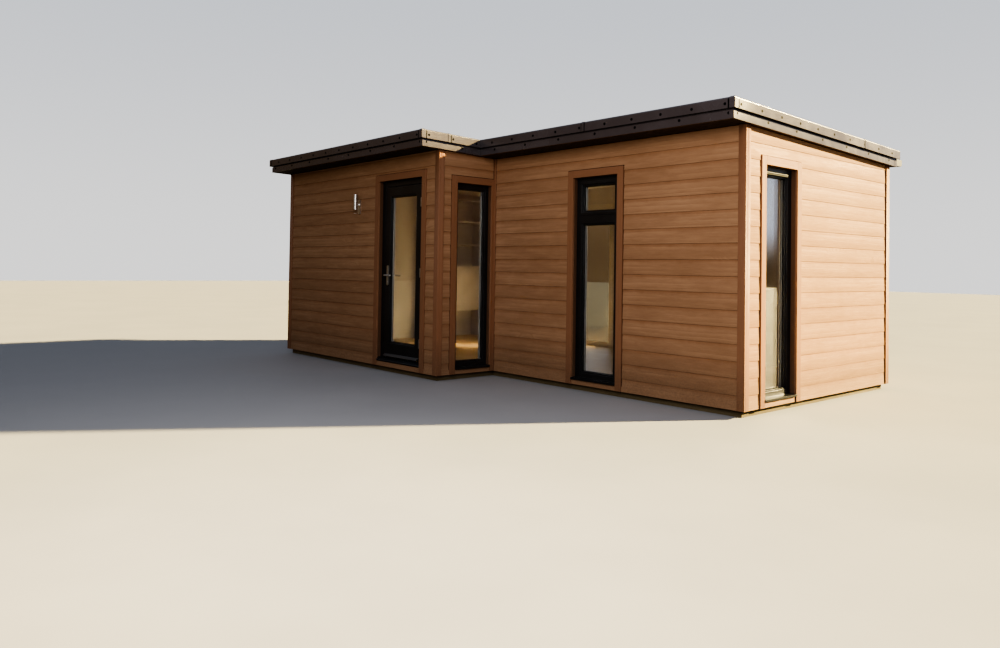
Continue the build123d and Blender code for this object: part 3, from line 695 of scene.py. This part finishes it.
def floor_material():
    """Pale oak planks laid along the building."""
    material, tree, shader = new_material("oak_planks", specular_ior_level=0.4)
    _, x, y, z = place_in(tree)
    row = sums(tree, "FLOOR", sums(tree, "DIVIDE", y, 0.19))
    shifted = plus(tree, x, times(tree, row, 0.43))
    plank = sums(tree, "FLOOR", sums(tree, "DIVIDE", shifted, 1.3))
    tone = part_of(tree, "ShaderNodeTexWhiteNoise", {"Vector": vector_of(tree, row, plank, 0.0)},
                   noise_dimensions="3D").outputs["Value"]
    grained = use_group(tree, grain, grain_space=vector_of(tree, x, y, times(tree, tone, 40.0)),
                        figure=1.0, fineness=1.0)
    colour = timber_colours(tree, grained["Shade"], (0.31, 0.215, 0.145), (0.45, 0.335, 0.245))
    toned = blend_colours(tree, ramp(tree, tone, 0.0, 1.0, 0.0, 0.4), colour, (0.27, 0.17, 0.10))
    across = sums(tree, "FRACT", sums(tree, "DIVIDE", y, 0.19))
    along = sums(tree, "FRACT", sums(tree, "DIVIDE", shifted, 1.3))
    end_joint = sums(tree, "LESS_THAN", along, 0.0018)
    seam = sums(tree, "MAXIMUM", sums(tree, "LESS_THAN", across, 0.012), end_joint)
    planed = sums(tree, "SUBTRACT", times(tree, grained["Height"], 0.3), seam)
    return surfaced(material, shader, blend_colours(tree, seam, toned, (0.10, 0.065, 0.04)),
                    ramp(tree, grained["Shade"], 0.2, 0.8, 0.34, 0.5), planed, 0.0004)


def base_timber_material():
    """Pressure-treated bearers and joists."""
    material, tree, shader = new_material("base_timber")
    _, x, y, z = place_in(tree)
    grained = use_group(tree, grain, grain_space=vector_of(tree, plus(tree, x, y), z, 2.0),
                        figure=1.0, fineness=0.8)
    colour = timber_colours(tree, grained["Shade"], (0.11, 0.085, 0.045), (0.21, 0.165, 0.09))
    return surfaced(material, shader, colour,
                    ramp(tree, grained["Height"], 0.1, 0.9, 0.85, 0.7), grained["Height"], 0.0008)


def pale_floor_material():
    """Plain pale studio floor."""
    material, tree, shader = new_material("pale_floor", specular_ior_level=0.12)
    clouded = use_group(tree, mottle, size=3.0)
    pale = cloudy(tree, clouded, (0.400, 0.405, 0.420), (0.430, 0.435, 0.450))
    seen = part_of(tree, "ShaderNodeLightPath").outputs["Is Camera Ray"]
    feed(tree, shader, "Base Color", blend_colours(tree, seen, (0.050, 0.050, 0.048), pale))
    feed(tree, shader, "Roughness", ramp(tree, clouded["Cloud"], 0.3, 0.7, 0.7, 0.8))
    return material


weatherboard = weatherboard_material()
trim_upright = trim_material("trim_board_upright", True)
trim_level = trim_material("trim_board_level", False)
# Darker copies of the trim boards for the reveals: painted shade inside the openings.
shaded_reveal_upright = trim_material("reveal_board_painted_shade_upright", True, (0.130, 0.066, 0.036), (0.180, 0.092, 0.051))
shaded_reveal_level = trim_material("reveal_board_painted_shade_level", False, (0.130, 0.066, 0.036), (0.180, 0.092, 0.051))
# Near-black strips for the gaps at the boards' ends: painted shade in the gaps.
gap_filler = plastic_material("brown_gap_filler", (0.020, 0.012, 0.007), (0.030, 0.018, 0.011), 0.75, 0.1)
# Soffit boards far darker than the trims: painted shade under the overhangs.
shaded_soffit_board = trim_material("shaded_soffit_board", False, (0.040, 0.024, 0.016), (0.060, 0.037, 0.025))
edge_metal = coated_metal_material("coated_edge_metal", (0.074, 0.062, 0.069), (0.093, 0.0785, 0.087),
                                   0.24, 0.4)
frame_paint = frame_material()
wall_panel = wall_panel_material()
roof_deck = roof_deck_material()
clear_glass = glass_material()
black_rubber = plastic_material("black_rubber", (0.004, 0.004, 0.004), (0.007, 0.007, 0.007), 0.65, 0.06)
black_plastic = plastic_material("black_plastic", (0.010, 0.010, 0.011), (0.016, 0.016, 0.017), 0.46)
spacer_bar = plastic_material("grey_spacer_bar", (0.16, 0.16, 0.16), (0.22, 0.22, 0.215), 0.4)
opal_lens = plastic_material("opal_lens", (0.72, 0.72, 0.69), (0.80, 0.80, 0.78), 0.25)
brushed_steel = brushed_steel_material()
white_laminate = shelf_material()
vent_paint = plastic_material("grey_vent_paint", (0.034, 0.034, 0.035), (0.048, 0.048, 0.048), 0.5, 0.2)
oak_planks = floor_material()
base_timber = base_timber_material()

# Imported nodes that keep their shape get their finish
for material, nodes in (
        (wall_panel, ("right_wall", "left_wall", "back_wall", "front_wall", "return_wall", "wing_wall_left",
                      "wing_wall_right", "wing_wall_over_door")),
        (roof_deck, ("main_roof", "wing_roof")), (oak_planks, ("main_floor", "wing_floor")),
        (base_timber, ("main_base", "wing_base")), (black_plastic, ("gutter", "downpipe")),
        (brushed_steel, ("door_handles", "frame_hinges", "leaf_hinges", "wall_light")),
        (edge_metal, ("kerb_caps",))):
    for node in nodes:
        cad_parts[node].material_slots[0].material = material

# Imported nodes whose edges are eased
for node in ("front", "return", "wing", "left", "right"):
    dressed(node + "_kerb", 0.0015, edge_metal)
for node in ("front", "return", "wing", "left", "right", "back"):
    dressed(node + "_fascia", 0.0018, edge_metal)
for node in ("front", "side", "return", "rear"):
    dressed(node + "_window_frame", 0.0018, frame_paint)
dressed("door_frame", 0.0018, frame_paint)
dressed("door_leaf", 0.0020, frame_paint, "door")
dressed("shelf_unit", 0.0012, white_laminate)
dressed("side_window_vent", 0.0010, vent_paint)
vent_low, vent_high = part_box("side_window_vent")
vent_middle = (vent_low.z + vent_high.z) / 2
# A black strip along the vent's face: painted shade standing for its groove.
groove_half = 0.004
groove_end = 0.012
groove = board("vent_slot_shade", (vent_high.x - 0.002, vent_low.y + groove_end, vent_middle - groove_half),
               (vent_high.x + 0.0003, vent_high.y - groove_end, vent_middle + groove_half), 0.0006)
finish_piece(groove, black_rubber)


# Lapped boards
def board_courses(start, end, first, step):
    """Lapped boards one above another, thicker at the foot, each with its drip edge eased."""
    foot = first_joint + (first - 1) * board_pitch
    head = foot + board_pitch - board_gap
    boards = block("boards", (start, -board_foot_stand, foot), (end, 0.0, head))
    with editing(boards) as shape:
        shape = pick(shape, "verts", lambda p: p.z > head - 0.01 and p.y < -0.001)
        bpy.ops.transform.translate(value=(0, board_foot_stand - board_head_stand, 0))
        shape = pick(shape, "edges", lambda p: p.z < foot + 0.001 and p.y < -board_foot_stand + 0.001)
        bpy.ops.mesh.bevel(offset=0.0025, segments=2)
    return apply_modifier(boards, "ARRAY", count=(courses - first - 1) // step + 1, use_relative_offset=False,
                          use_constant_offset=True, constant_offset_displace=(0, 0, step * board_pitch))


def opening_notch(wall, across, head, right_trim):
    """The corners of the notch that a trimmed opening needs in the boards of a wall."""
    low = Vector((across[0] - trim_width - butt_gap, -0.1, floor_top - notch_drop))
    high = Vector((across[1] + right_trim + butt_gap, 0.1, head + trim_width + butt_gap))
    turn, place = walls[wall]
    corners = [Matrix.Rotation(turn, 3, "Z") @ corner + Vector(place) for corner in (low, high)]
    return corners_of(*corners)


def paint_gap_shade(name, wall, start, end, across, head, right_trim):
    """Near-black strips in the gaps between the boards' ends and the trims, set back from both: painted shade
    in the gaps.
    """
    top = roof_level(wing_face) + 0.1
    gaps = [(start - butt_gap, start, cladding_foot, top), (end, end + butt_gap, cladding_foot, top)]
    if across:
        left, right, over = across[0] - trim_width, across[1] + right_trim, head + trim_width
        gaps += [(left - butt_gap, left, cladding_foot, over), (right, right + butt_gap, cladding_foot, over),
                 (left - butt_gap, right + butt_gap, over, over + butt_gap)]
    gap_strips = [block("gap_strip", (low, -gap_strip_stand, foot), (high, 0, crown))
               for low, high, foot, crown in gaps]
    gap_strip = set_on_wall(join(name, gap_strips), wall)
    trim_to_roof(gap_strip, fascia_drop + 0.001)
    finish_piece(gap_strip, gap_filler)


def clad_wall(name, wall, start, end, across=None, head=None, right_trim=trim_width, joint_places=None):
    """Boards one wall from start to end, cut round its trimmed opening and under the roof edge."""
    runs = []
    if joint_places:
        for first, place in enumerate(joint_places):
            runs.append(board_courses(start, place - joint_half, first, 2))
            runs.append(board_courses(place + joint_half, end, first, 2))
    else:
        runs.append(board_courses(start, end, 0, 1))
    boards = set_on_wall(join(name, runs), wall)
    if across:
        cut_away(boards, *opening_notch(wall, across, head, right_trim))
    trim_off(boards, (0, 0, cladding_foot), (0, 0, -1))
    trim_to_roof(boards, fascia_drop + 0.001)
    tones = random.Random(name)
    tone_of = {}
    tone = boards.data.attributes.new("board_tone", "FLOAT", "FACE")
    along = 0 if walls[wall][0] in (0, 2 * quarter) else 1
    for face in boards.data.polygons:
        course = math.floor((face.center.z + 0.0004 - first_joint) / board_pitch)
        length = 0
        if joint_places:
            length = sum(face.center[along] > -place for place in joint_places)
            length = (length > 0) if course % 2 else (length > 1)
        tone.data[face.index].value = tone_of.setdefault((course, length), tones.random())
    select_only(boards)
    bpy.ops.object.shade_smooth_by_angle(angle=math.radians(30))
    paint_gap_shade(name.replace("boards", "gap_filler"), wall, start, end, across, head, right_trim)
    return finish_piece(boards, weatherboard)


def span(node, axis):
    """How far a node reaches along an axis."""
    low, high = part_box(node)
    return (low[axis], high[axis])


front_window = span("front_window_frame", 0)
side_window = span("side_window_frame", 1)
return_window = span("return_window_frame", 1)
rear_window = tuple(-x for x in reversed(span("rear_window_frame", 0)))
doorway = span("door_frame", 0)
window_head = span("front_window_frame", 2)[1]
door_head = span("door_frame", 2)[1]
return_trim_right = main_face - bead_in_corner - return_window[1]

post_end = post_leg + butt_gap
bead_end = bead_in_corner + butt_gap
clad_wall("front_boards", "front", return_face + bead_end, right_face - post_end, front_window, window_head)
clad_wall("side_boards", "side", main_face + post_end, back_face - post_end, side_window, window_head)
clad_wall("wing_boards", "wing", left_face + post_end, return_face - post_end, doorway, door_head)
clad_wall("return_boards", "return", wing_face + post_end, main_face - bead_end, return_window, window_head,
          return_trim_right)
clad_wall("rear_boards", "rear", left_face + post_end, right_face - post_end, rear_window, window_head,
          joint_places=(0.5, -0.5))
clad_wall("left_boards", "left", post_end - back_face, -wing_face - post_end)


# Trim boards
def set_boards(name, wall, sides, over, upright, level):
    """Stands a pair of side boards and a head board against a wall and finishes them."""
    pair = set_on_wall(join(name + "_sides", sides), wall)
    set_on_wall(over, wall)
    finish_piece(pair, upright)
    finish_piece(over, level)
    return pair


def opening_boards(name, wall, across, head, right_width=trim_width):
    """Boards down both sides of an opening with the head board between them."""
    top = head + trim_width
    left = board(name + "_left", (across[0] - trim_width, -trim_stand, cladding_foot), (across[0], 0, top))
    right = board(name + "_right", (across[1], -trim_stand, cladding_foot), (across[1] + right_width, 0, top))
    over = board(name + "_head", (across[0] + shadow_gap, -trim_stand, head),
                 (across[1] - shadow_gap, 0, top))
    return set_boards(name, wall, [left, right], over, trim_upright, trim_level)


def reveal_boards(name, wall, across, head, sill):
    """Thin linings at the sides and head of an opening, between the trim boards and the frame."""
    front = -lining_proud
    back = frame_recess - lining_proud
    hidden = grown(across, lining_tuck)
    clear = grown(across, -lining_thickness)
    left = board(name + "_left", (hidden[0], front, sill), (clear[0], back, head), 0.0008)
    right = board(name + "_right", (clear[1], front, sill), (hidden[1], back, head), 0.0008)
    over = board(name + "_head", (clear[0], front, head - lining_thickness),
                 (clear[1], back, head + lining_tuck), 0.0008)
    # The linings take the darker reveal boards, which carry painted shade inside the opening.
    set_boards(name, wall, [left, right], over, shaded_reveal_upright, shaded_reveal_level)


window_openings = {"front": front_window, "side": side_window, "return": return_window, "rear": rear_window}
for wall, across in window_openings.items():
    right_width = return_trim_right if wall == "return" else trim_width
    sides = opening_boards(wall + "_window_trim", wall, across, window_head, right_width)
    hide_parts("window_trims")
door_trim_sides = opening_boards("door_trim", "wing", doorway, door_head)
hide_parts("door_trim")
for wall, across in window_openings.items():
    reveal_boards(wall + "_window_reveal", wall, across, window_head, floor_top)
reveal_boards("door_reveal", "wing", doorway, door_head, floor_top + threshold_rise)


def corner_post(name, x, y, side_x, side_y):
    """Two boards lapped at an outside corner: the one on the front or rear wall covers the other's edge."""
    outer_x = x + side_x * trim_stand
    outer_y = y + side_y * trim_stand
    top = roof_level(wing_face) + 0.1
    facing = corners_of((outer_x, outer_y, cladding_foot), (x - side_x * post_leg, y, top))
    behind = corners_of((outer_x, y - side_y * shadow_gap, cladding_foot), (x, y - side_y * post_leg, top))
    return [board(name, low, high) for low, high in (facing, behind)]


posts = []
for number, (x, y, side_x, side_y) in enumerate([
        (right_face, main_face, 1, -1), (right_face, back_face, 1, 1), (left_face, back_face, -1, 1),
        (left_face, wing_face, -1, -1), (return_face, wing_face, 1, -1)]):
    posts += corner_post(f"post_{number}", x, y, side_x, side_y)
posts.append(board("corner_bead", (return_face, main_face - bead_in_corner, cladding_foot),
                   (return_face + bead_in_corner, main_face, kerb_top)))
for post in posts:
    trim_to_roof(post, fascia_drop)
corner_posts = finish_piece(join("corner_posts", posts), trim_upright)
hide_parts("corner_trims")


# Soffit boards under the front and rear overhangs
soffit_thickness = 0.008
soffit_joint = 0.003


def soffit(name, x_range, y_range, rows):
    """Boards side by side under an overhang, following the roof's fall."""
    width = (y_range[1] - y_range[0]) / rows
    boards = []
    for row in range(rows):
        start = y_range[0] + row * width
        piece = block(name, (x_range[0], start + soffit_joint / 2, 0),
                      (x_range[1], start + width - soffit_joint / 2, soffit_thickness))
        boards.append(ease_edges(follow_roof(piece, soffit_drop + soffit_thickness), 0.0015))
    # Their dark finish is painted shade under the overhang.
    return finish_piece(join(name, boards), shaded_soffit_board)


fascia_inner = 0.043
verge_inner = roof_right - fascia_inner - 0.001
return_inner = roof_return - fascia_inner - 0.001
main_inner = main_roof_front + fascia_inner
for name, x_range, y_range, rows in (
        ("front_soffit", (return_face + 0.001, verge_inner), (main_inner, main_face - 0.001), 2),
        ("wing_soffit", (-verge_inner, return_inner), (wing_roof_front + fascia_inner, wing_face - 0.001), 2),
        ("rear_soffit", (-verge_inner, verge_inner), (back_face + 0.001, roof_back - fascia_inner), 1),
        ("right_soffit", (right_face + 0.001, verge_inner), (main_face - 0.001, back_face + 0.001), 1),
        ("left_soffit", (-verge_inner, left_face - 0.001), (wing_face - 0.001, back_face + 0.001), 1),
        ("return_soffit", (return_face + 0.001, return_inner), (wing_face - 0.001, main_inner), 1)):
    soffit(name, x_range, y_range, rows)


# Screws of the two metal tiers
washer_radius = 0.0120
screw_head_radius = 0.0065
last_screw_gap = 0.03


def tier_screws(name, start, end, inwards, drop, inset, spacing, first):
    """Washer-head screws along one tier, set into its face."""
    begin, finish = Vector(start), Vector(end)
    run = finish - begin
    outward = -Vector(inwards)
    seat = tube("screw", (0, 0, 0), outward * 0.0012, washer_radius, 16)
    head = tube("screw", outward * 0.001, outward * 0.0028, screw_head_radius, 6)
    screw = join("screw", [seat, head])
    copies = []
    distance = first
    while distance < run.length - last_screw_gap:
        place = begin + run * (distance / run.length) - outward * inset
        copies.append(copy_at(screw, (place.x, place.y, roof_level(place.y, drop))))
        distance += spacing
    bpy.data.objects.remove(screw)
    return finish_piece(join(name, copies), black_rubber)


edges = {
    "front": ((roof_right, main_roof_front, 0), (roof_return, main_roof_front, 0), (0, 1, 0)),
    "right": ((roof_right, main_roof_front, 0), (roof_right, roof_back, 0), (-1, 0, 0)),
    "wing": ((roof_return, wing_roof_front, 0), (-roof_right, wing_roof_front, 0), (0, 1, 0)),
    "return": ((roof_return, wing_roof_front, 0), (roof_return, main_roof_front, 0), (-1, 0, 0)),
    "left": ((-roof_right, wing_roof_front, 0), (-roof_right, roof_back, 0), (1, 0, 0)),
}
# How far down each tier its row of screws is, how far in, how far apart and where it starts
screw_rows = {
    "upper": (0.052, 0.0, 0.303, 0.087),
    "lower": (lower_tier_top_drop + 0.022, lower_tier_inset, 0.455, 0.045 + lower_tier_inset),
}
for side, (start, end, inwards) in edges.items():
    for tier, row in screw_rows.items():
        tier_screws(f"{side}_{tier}_screws", start, end, inwards, *row)


# Folded caps on the corners of the lower tier
cap_sheet = 0.002
lower_cap_leg = 0.040
cap_clearance = 0.0005


def lower_cap(corner, outward):
    """An angle of sheet over an outside corner of the lower tier, following the roof's fall."""
    face = [place - side * lower_tier_inset for place, side in zip(corner, outward)]
    near = [place + side * cap_sheet for place, side in zip(face, outward)]
    far = [place - side * lower_cap_leg for place, side in zip(face, outward)]
    behind = [place - side * 0.1 for place, side in zip(face, outward)]
    foot = cap_clearance - fascia_drop
    cap = block("lower_cap", *corners_of((*near, foot), (*far, -lower_tier_top_drop - cap_clearance)))
    cut_away(cap, *corners_of((*face, -1), (*behind, 1)))
    return ease_edges(follow_roof(cap), 0.0006)


lower_caps = [lower_cap(corner, outward) for corner, outward in (
    ((roof_right, main_roof_front), (1, -1)), ((roof_right, roof_back), (1, 1)),
    ((-roof_right, roof_back), (-1, 1)), ((-roof_right, wing_roof_front), (-1, -1)),
    ((roof_return, wing_roof_front), (1, -1)))]
finish_piece(join("lower_corner_caps", lower_caps), edge_metal)


# Sealant along the edges of the kerb's caps and joint covers
def sealant_bead(side, distance):
    """A bead up the kerb's face at a distance from the run's start, beside the edge of a cap."""
    start, end, inwards = (Vector(values) for values in edges[side])
    along = (end - start).normalized()
    place = start + along * distance
    low = place - along * bead_half - inwards * bead_proud
    high = place + along * bead_half + inwards * bead_sunk
    bead = block("bead", *corners_of((low.x, low.y, -bead_foot_drop), (high.x, high.y, -bead_head_drop)))
    return ease_edges(follow_roof(bead), 0.0008)


wing_run = roof_return + roof_right
bead_places = [("front", cap_leg), ("right", cap_leg), ("wing", cap_leg), ("wing", wing_run - cap_leg),
               ("return", cap_leg), ("left", cap_leg)]
for side, joint in cover_places:
    bead_places += [(side, joint - cover_half), (side, joint + cover_half)]
beads = [sealant_bead(side, distance + (bead_half if distance < 0.5 else 0.0))
         for side, distance in bead_places]
finish_piece(join("cap_sealant", beads), black_rubber)


# Sealed panes with their gaskets
sheet_clearance = 0.002
gasket_width = 0.0045
gasket_depth = 0.0042


def sealed_unit(name, wall, across, up, setback):
    """Two sheets with a spacer between them, and a gasket on each side."""
    outer = frame_recess + setback
    inner = outer + glass_depth - sheet_thickness
    wide = grown(across, glass_rebate - sheet_clearance)
    high = grown(up, glass_rebate - sheet_clearance)
    sheets = [block(name, (wide[0], y, high[0]), (wide[1], y + sheet_thickness, high[1]))
              for y in (outer + 0.0002, inner - 0.0002)]
    spacer = ring(name + "_spacer", wide, high, glass_rebate + 0.001, outer + sheet_thickness + 0.0006,
                  glass_depth - 2 * sheet_thickness - 0.0012)
    gaskets = [ring(name + "_gasket", across, up, gasket_width, front, gasket_depth, 0.0012)
               for front in (outer + 0.0002 - gasket_depth, outer + glass_depth - 0.0002)]
    for piece in sheets + [spacer] + gaskets:
        set_on_wall(piece, wall)
    return sheets, spacer, gaskets


sill_member = floor_top + sill_face
panes = {}
for wall, across in window_openings.items():
    face = return_frame_face if wall == "return" else frame_face
    panes[wall] = (wall, grown(across, -face), (sill_member, window_head - face))
wall, across, up = panes.pop("front")
panes = {
    "front_low": (wall, across, (up[0], transom[0])),
    "front_top": (wall, across, (transom[1], up[1])),
    **panes,
}
all_sheets, all_spacers, all_gaskets = [], [], []
for name, (wall, across, up) in panes.items():
    sheets, spacer, gaskets = sealed_unit(name, wall, across, up, window_setback)
    all_sheets += sheets
    all_spacers.append(spacer)
    all_gaskets += gaskets
window_panes = finish_piece(join("window_panes", all_sheets), clear_glass)
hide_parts("window_glass")
finish_piece(join("window_spacers", all_spacers), spacer_bar)
finish_piece(join("window_gaskets", all_gaskets), black_rubber)

leaf_low, leaf_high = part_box("door_leaf")
pane_low, pane_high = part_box("door_glass")
door_across = grown((pane_low.x, pane_high.x), -glass_rebate)
door_up = grown((pane_low.z, pane_high.z), -glass_rebate)
sheets, spacer, gaskets = sealed_unit("door_pane", "wing", door_across, door_up, door_setback)
door_panes = finish_piece(join("door_panes", sheets), clear_glass, "door")
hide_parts("door_glass")
finish_piece(spacer, spacer_bar, "door")
finish_piece(join("door_gaskets", gaskets), black_rubber, "door")

# Cover strips that stand on the frames beside the panes
strip_reach = 0.0215
strip_width = 0.006
strip_depth = 0.003
strip_proud = 0.0018
for name, (wall, across, up) in panes.items():
    strip = ring(name + "_bead_strip", grown(across, strip_reach), grown(up, strip_reach), strip_width,
                 frame_recess - strip_proud, strip_depth, 0.0008)
    set_on_wall(strip, wall)
    finish_piece(strip, frame_paint)

# Seal round the doorway behind the leaf
seal_inset = 0.012
seal_width = 0.008
seal_depth = 0.0036
seal_up = (leaf_low.z + 0.004, leaf_high.z - seal_inset)
seal = ring("door_seal", grown((leaf_low.x, leaf_high.x), -seal_inset), seal_up, seal_width,
            leaf_high.y + 0.0004, seal_depth, 0.001)
finish_piece(seal, black_rubber)

# Lenses of the wall light
light_low, light_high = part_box("wall_light")
tube_middle = ((light_low.x + light_high.x) / 2, light_low.y + 0.023)
lens_radius = 0.0195
lens_thickness = 0.0035
lenses = [tube("light_lens", (*tube_middle, foot), (*tube_middle, foot + lens_thickness), lens_radius, 32)
          for foot in (light_low.z + 0.002, light_high.z - 0.0055)]
finish_piece(join("light_lenses", lenses), opal_lens)


# Roof: welded laps in the membrane and the strip where the wing meets the main deck
membrane_thickness = 0.003


def membrane_lap(x_range, y_range):
    """A strip of membrane welded onto the deck."""
    lap = block("lap", (x_range[0], y_range[0], 0), (x_range[1], y_range[1], membrane_thickness))
    return ease_edges(follow_roof(lap, deck_drop), 0.001)


lap_places = (-2.1, -0.6, 0.9, 2.4)
lap_width = 0.05
kerb_inner = 0.09
laps = [membrane_lap((x, x + lap_width), (main_roof_front + kerb_inner, roof_back - 0.045))
        for x in lap_places]
laps.append(membrane_lap((kerb_inner - roof_right, roof_return - kerb_inner),
                         (main_roof_front - 0.02, main_roof_front + 0.10)))
finish_piece(join("membrane_laps", laps), roof_deck)

# Studio: pale floor, low warm sun from the right and rear, weak fill from the front
bpy.ops.mesh.primitive_plane_add(size=90, location=(0, 0, -0.001))
studio_floor = bpy.context.active_object
studio_floor.name = "studio_floor"
apply_place(studio_floor)
studio_floor.data.materials.append(pale_floor_material())

sun_direction = Vector((-0.62, -1.0, -0.48))
key = bpy.data.objects.new("key_light", bpy.data.lights.new("key_light", "SUN"))
key.data.energy = 20
key.data.angle = math.radians(2)
key.data.color = (1.0, 0.79, 0.38)
key.rotation_euler = sun_direction.to_track_quat("-Z", "Y").to_euler()
scene.collection.objects.link(key)

fill_target = Vector((1.5, -0.9, 1.2))
fill = bpy.data.objects.new("fill_light", bpy.data.lights.new("fill_light", "AREA"))
fill.data.energy = 140
fill.data.size = 3
fill.data.color = (1.0, 0.94, 0.90)
fill.location = (4.4, -5.6, 3.0)
fill.rotation_euler = (fill_target - fill.location).to_track_quat("-Z", "Y").to_euler()
scene.collection.objects.link(fill)

world = bpy.data.worlds.new("studio_sky")
scene.world = world
world.use_nodes = True
sky = world.node_tree
background = sky.nodes["Background"]
direction = part_of(sky, "ShaderNodeTexCoord").outputs["Generated"]
ways = part_of(sky, "ShaderNodeSeparateXYZ", {0: direction}).outputs
height = ways["Z"]
rays = part_of(sky, "ShaderNodeLightPath").outputs
behind = ramp(sky, ways["Y"], 0.0, 0.4, 1.0, 0.25)
skyline = times(sky, ramp(sky, ways["X"], -0.7, 0.7, 0.34, 0.10), behind)
above = ramp(sky, sums(sky, "SUBTRACT", height, skyline), -0.03, 0.03)
sunward = ramp(sky, ways["X"], -0.1, 0.7)
low_sky = blend_colours(sky, sunward, (0.28, 0.27, 0.26), (0.36, 0.40, 0.48))
open_sky = blend_colours(sky, ramp(sky, height, 0.0, 0.55), low_sky, (0.17, 0.19, 0.225))
trees = blend_colours(sky, ramp(sky, height, 0.02, 0.15), (0.110, 0.072, 0.040), (0.300, 0.200, 0.115))
sky.links.new(blend_colours(sky, above, trees, open_sky), background.inputs["Color"])
mirrored = times(sky, rays["Is Glossy Ray"], above)
sheen = times(sky, mirrored, ramp(sky, sunward, 0.0, 1.0, 2.5, 1.5))
through = times(sky, rays["Is Transmission Ray"], sums(sky, "LESS_THAN", rays["Diffuse Depth"], 0.5))
seen_through = times(sky, times(sky, through, above), 2.0)
sky.links.new(plus(sky, plus(sky, sheen, seen_through), 1.0), background.inputs["Strength"])
backdrop = part_of(sky, "ShaderNodeBackground", {"Strength": 1.15})
sky.links.new(blend_colours(sky, ramp(sky, height, -0.02, 0.35), (0.70, 0.695, 0.69), (0.50, 0.52, 0.56)),
              backdrop.inputs["Color"])
both = part_of(sky, "ShaderNodeMixShader",
               {0: rays["Is Camera Ray"], 1: background.outputs[0], 2: backdrop.outputs[0]})
sky.links.new(both.outputs[0], sky.nodes["World Output"].inputs["Surface"])

# Camera where the photographer stood, its turns in degrees
camera_place = (6.486, main_face - 5.536, 1.156)
camera_turns = (("Z", 48.66), ("X", 91.18), ("Z", 0.86))
camera = bpy.data.objects.new("camera", bpy.data.cameras.new("camera"))
scene.collection.objects.link(camera)
camera.data.sensor_width = 36
camera.data.lens = 28.42
camera.data.shift_y = -0.0729
camera.data.clip_end = 200
aim = Matrix.Translation(camera_place)
for axis, turn in camera_turns:
    aim = aim @ Matrix.Rotation(math.radians(turn), 4, axis)
camera.matrix_world = aim
scene.camera = camera
scene.view_settings.look = "AgX - High Contrast"
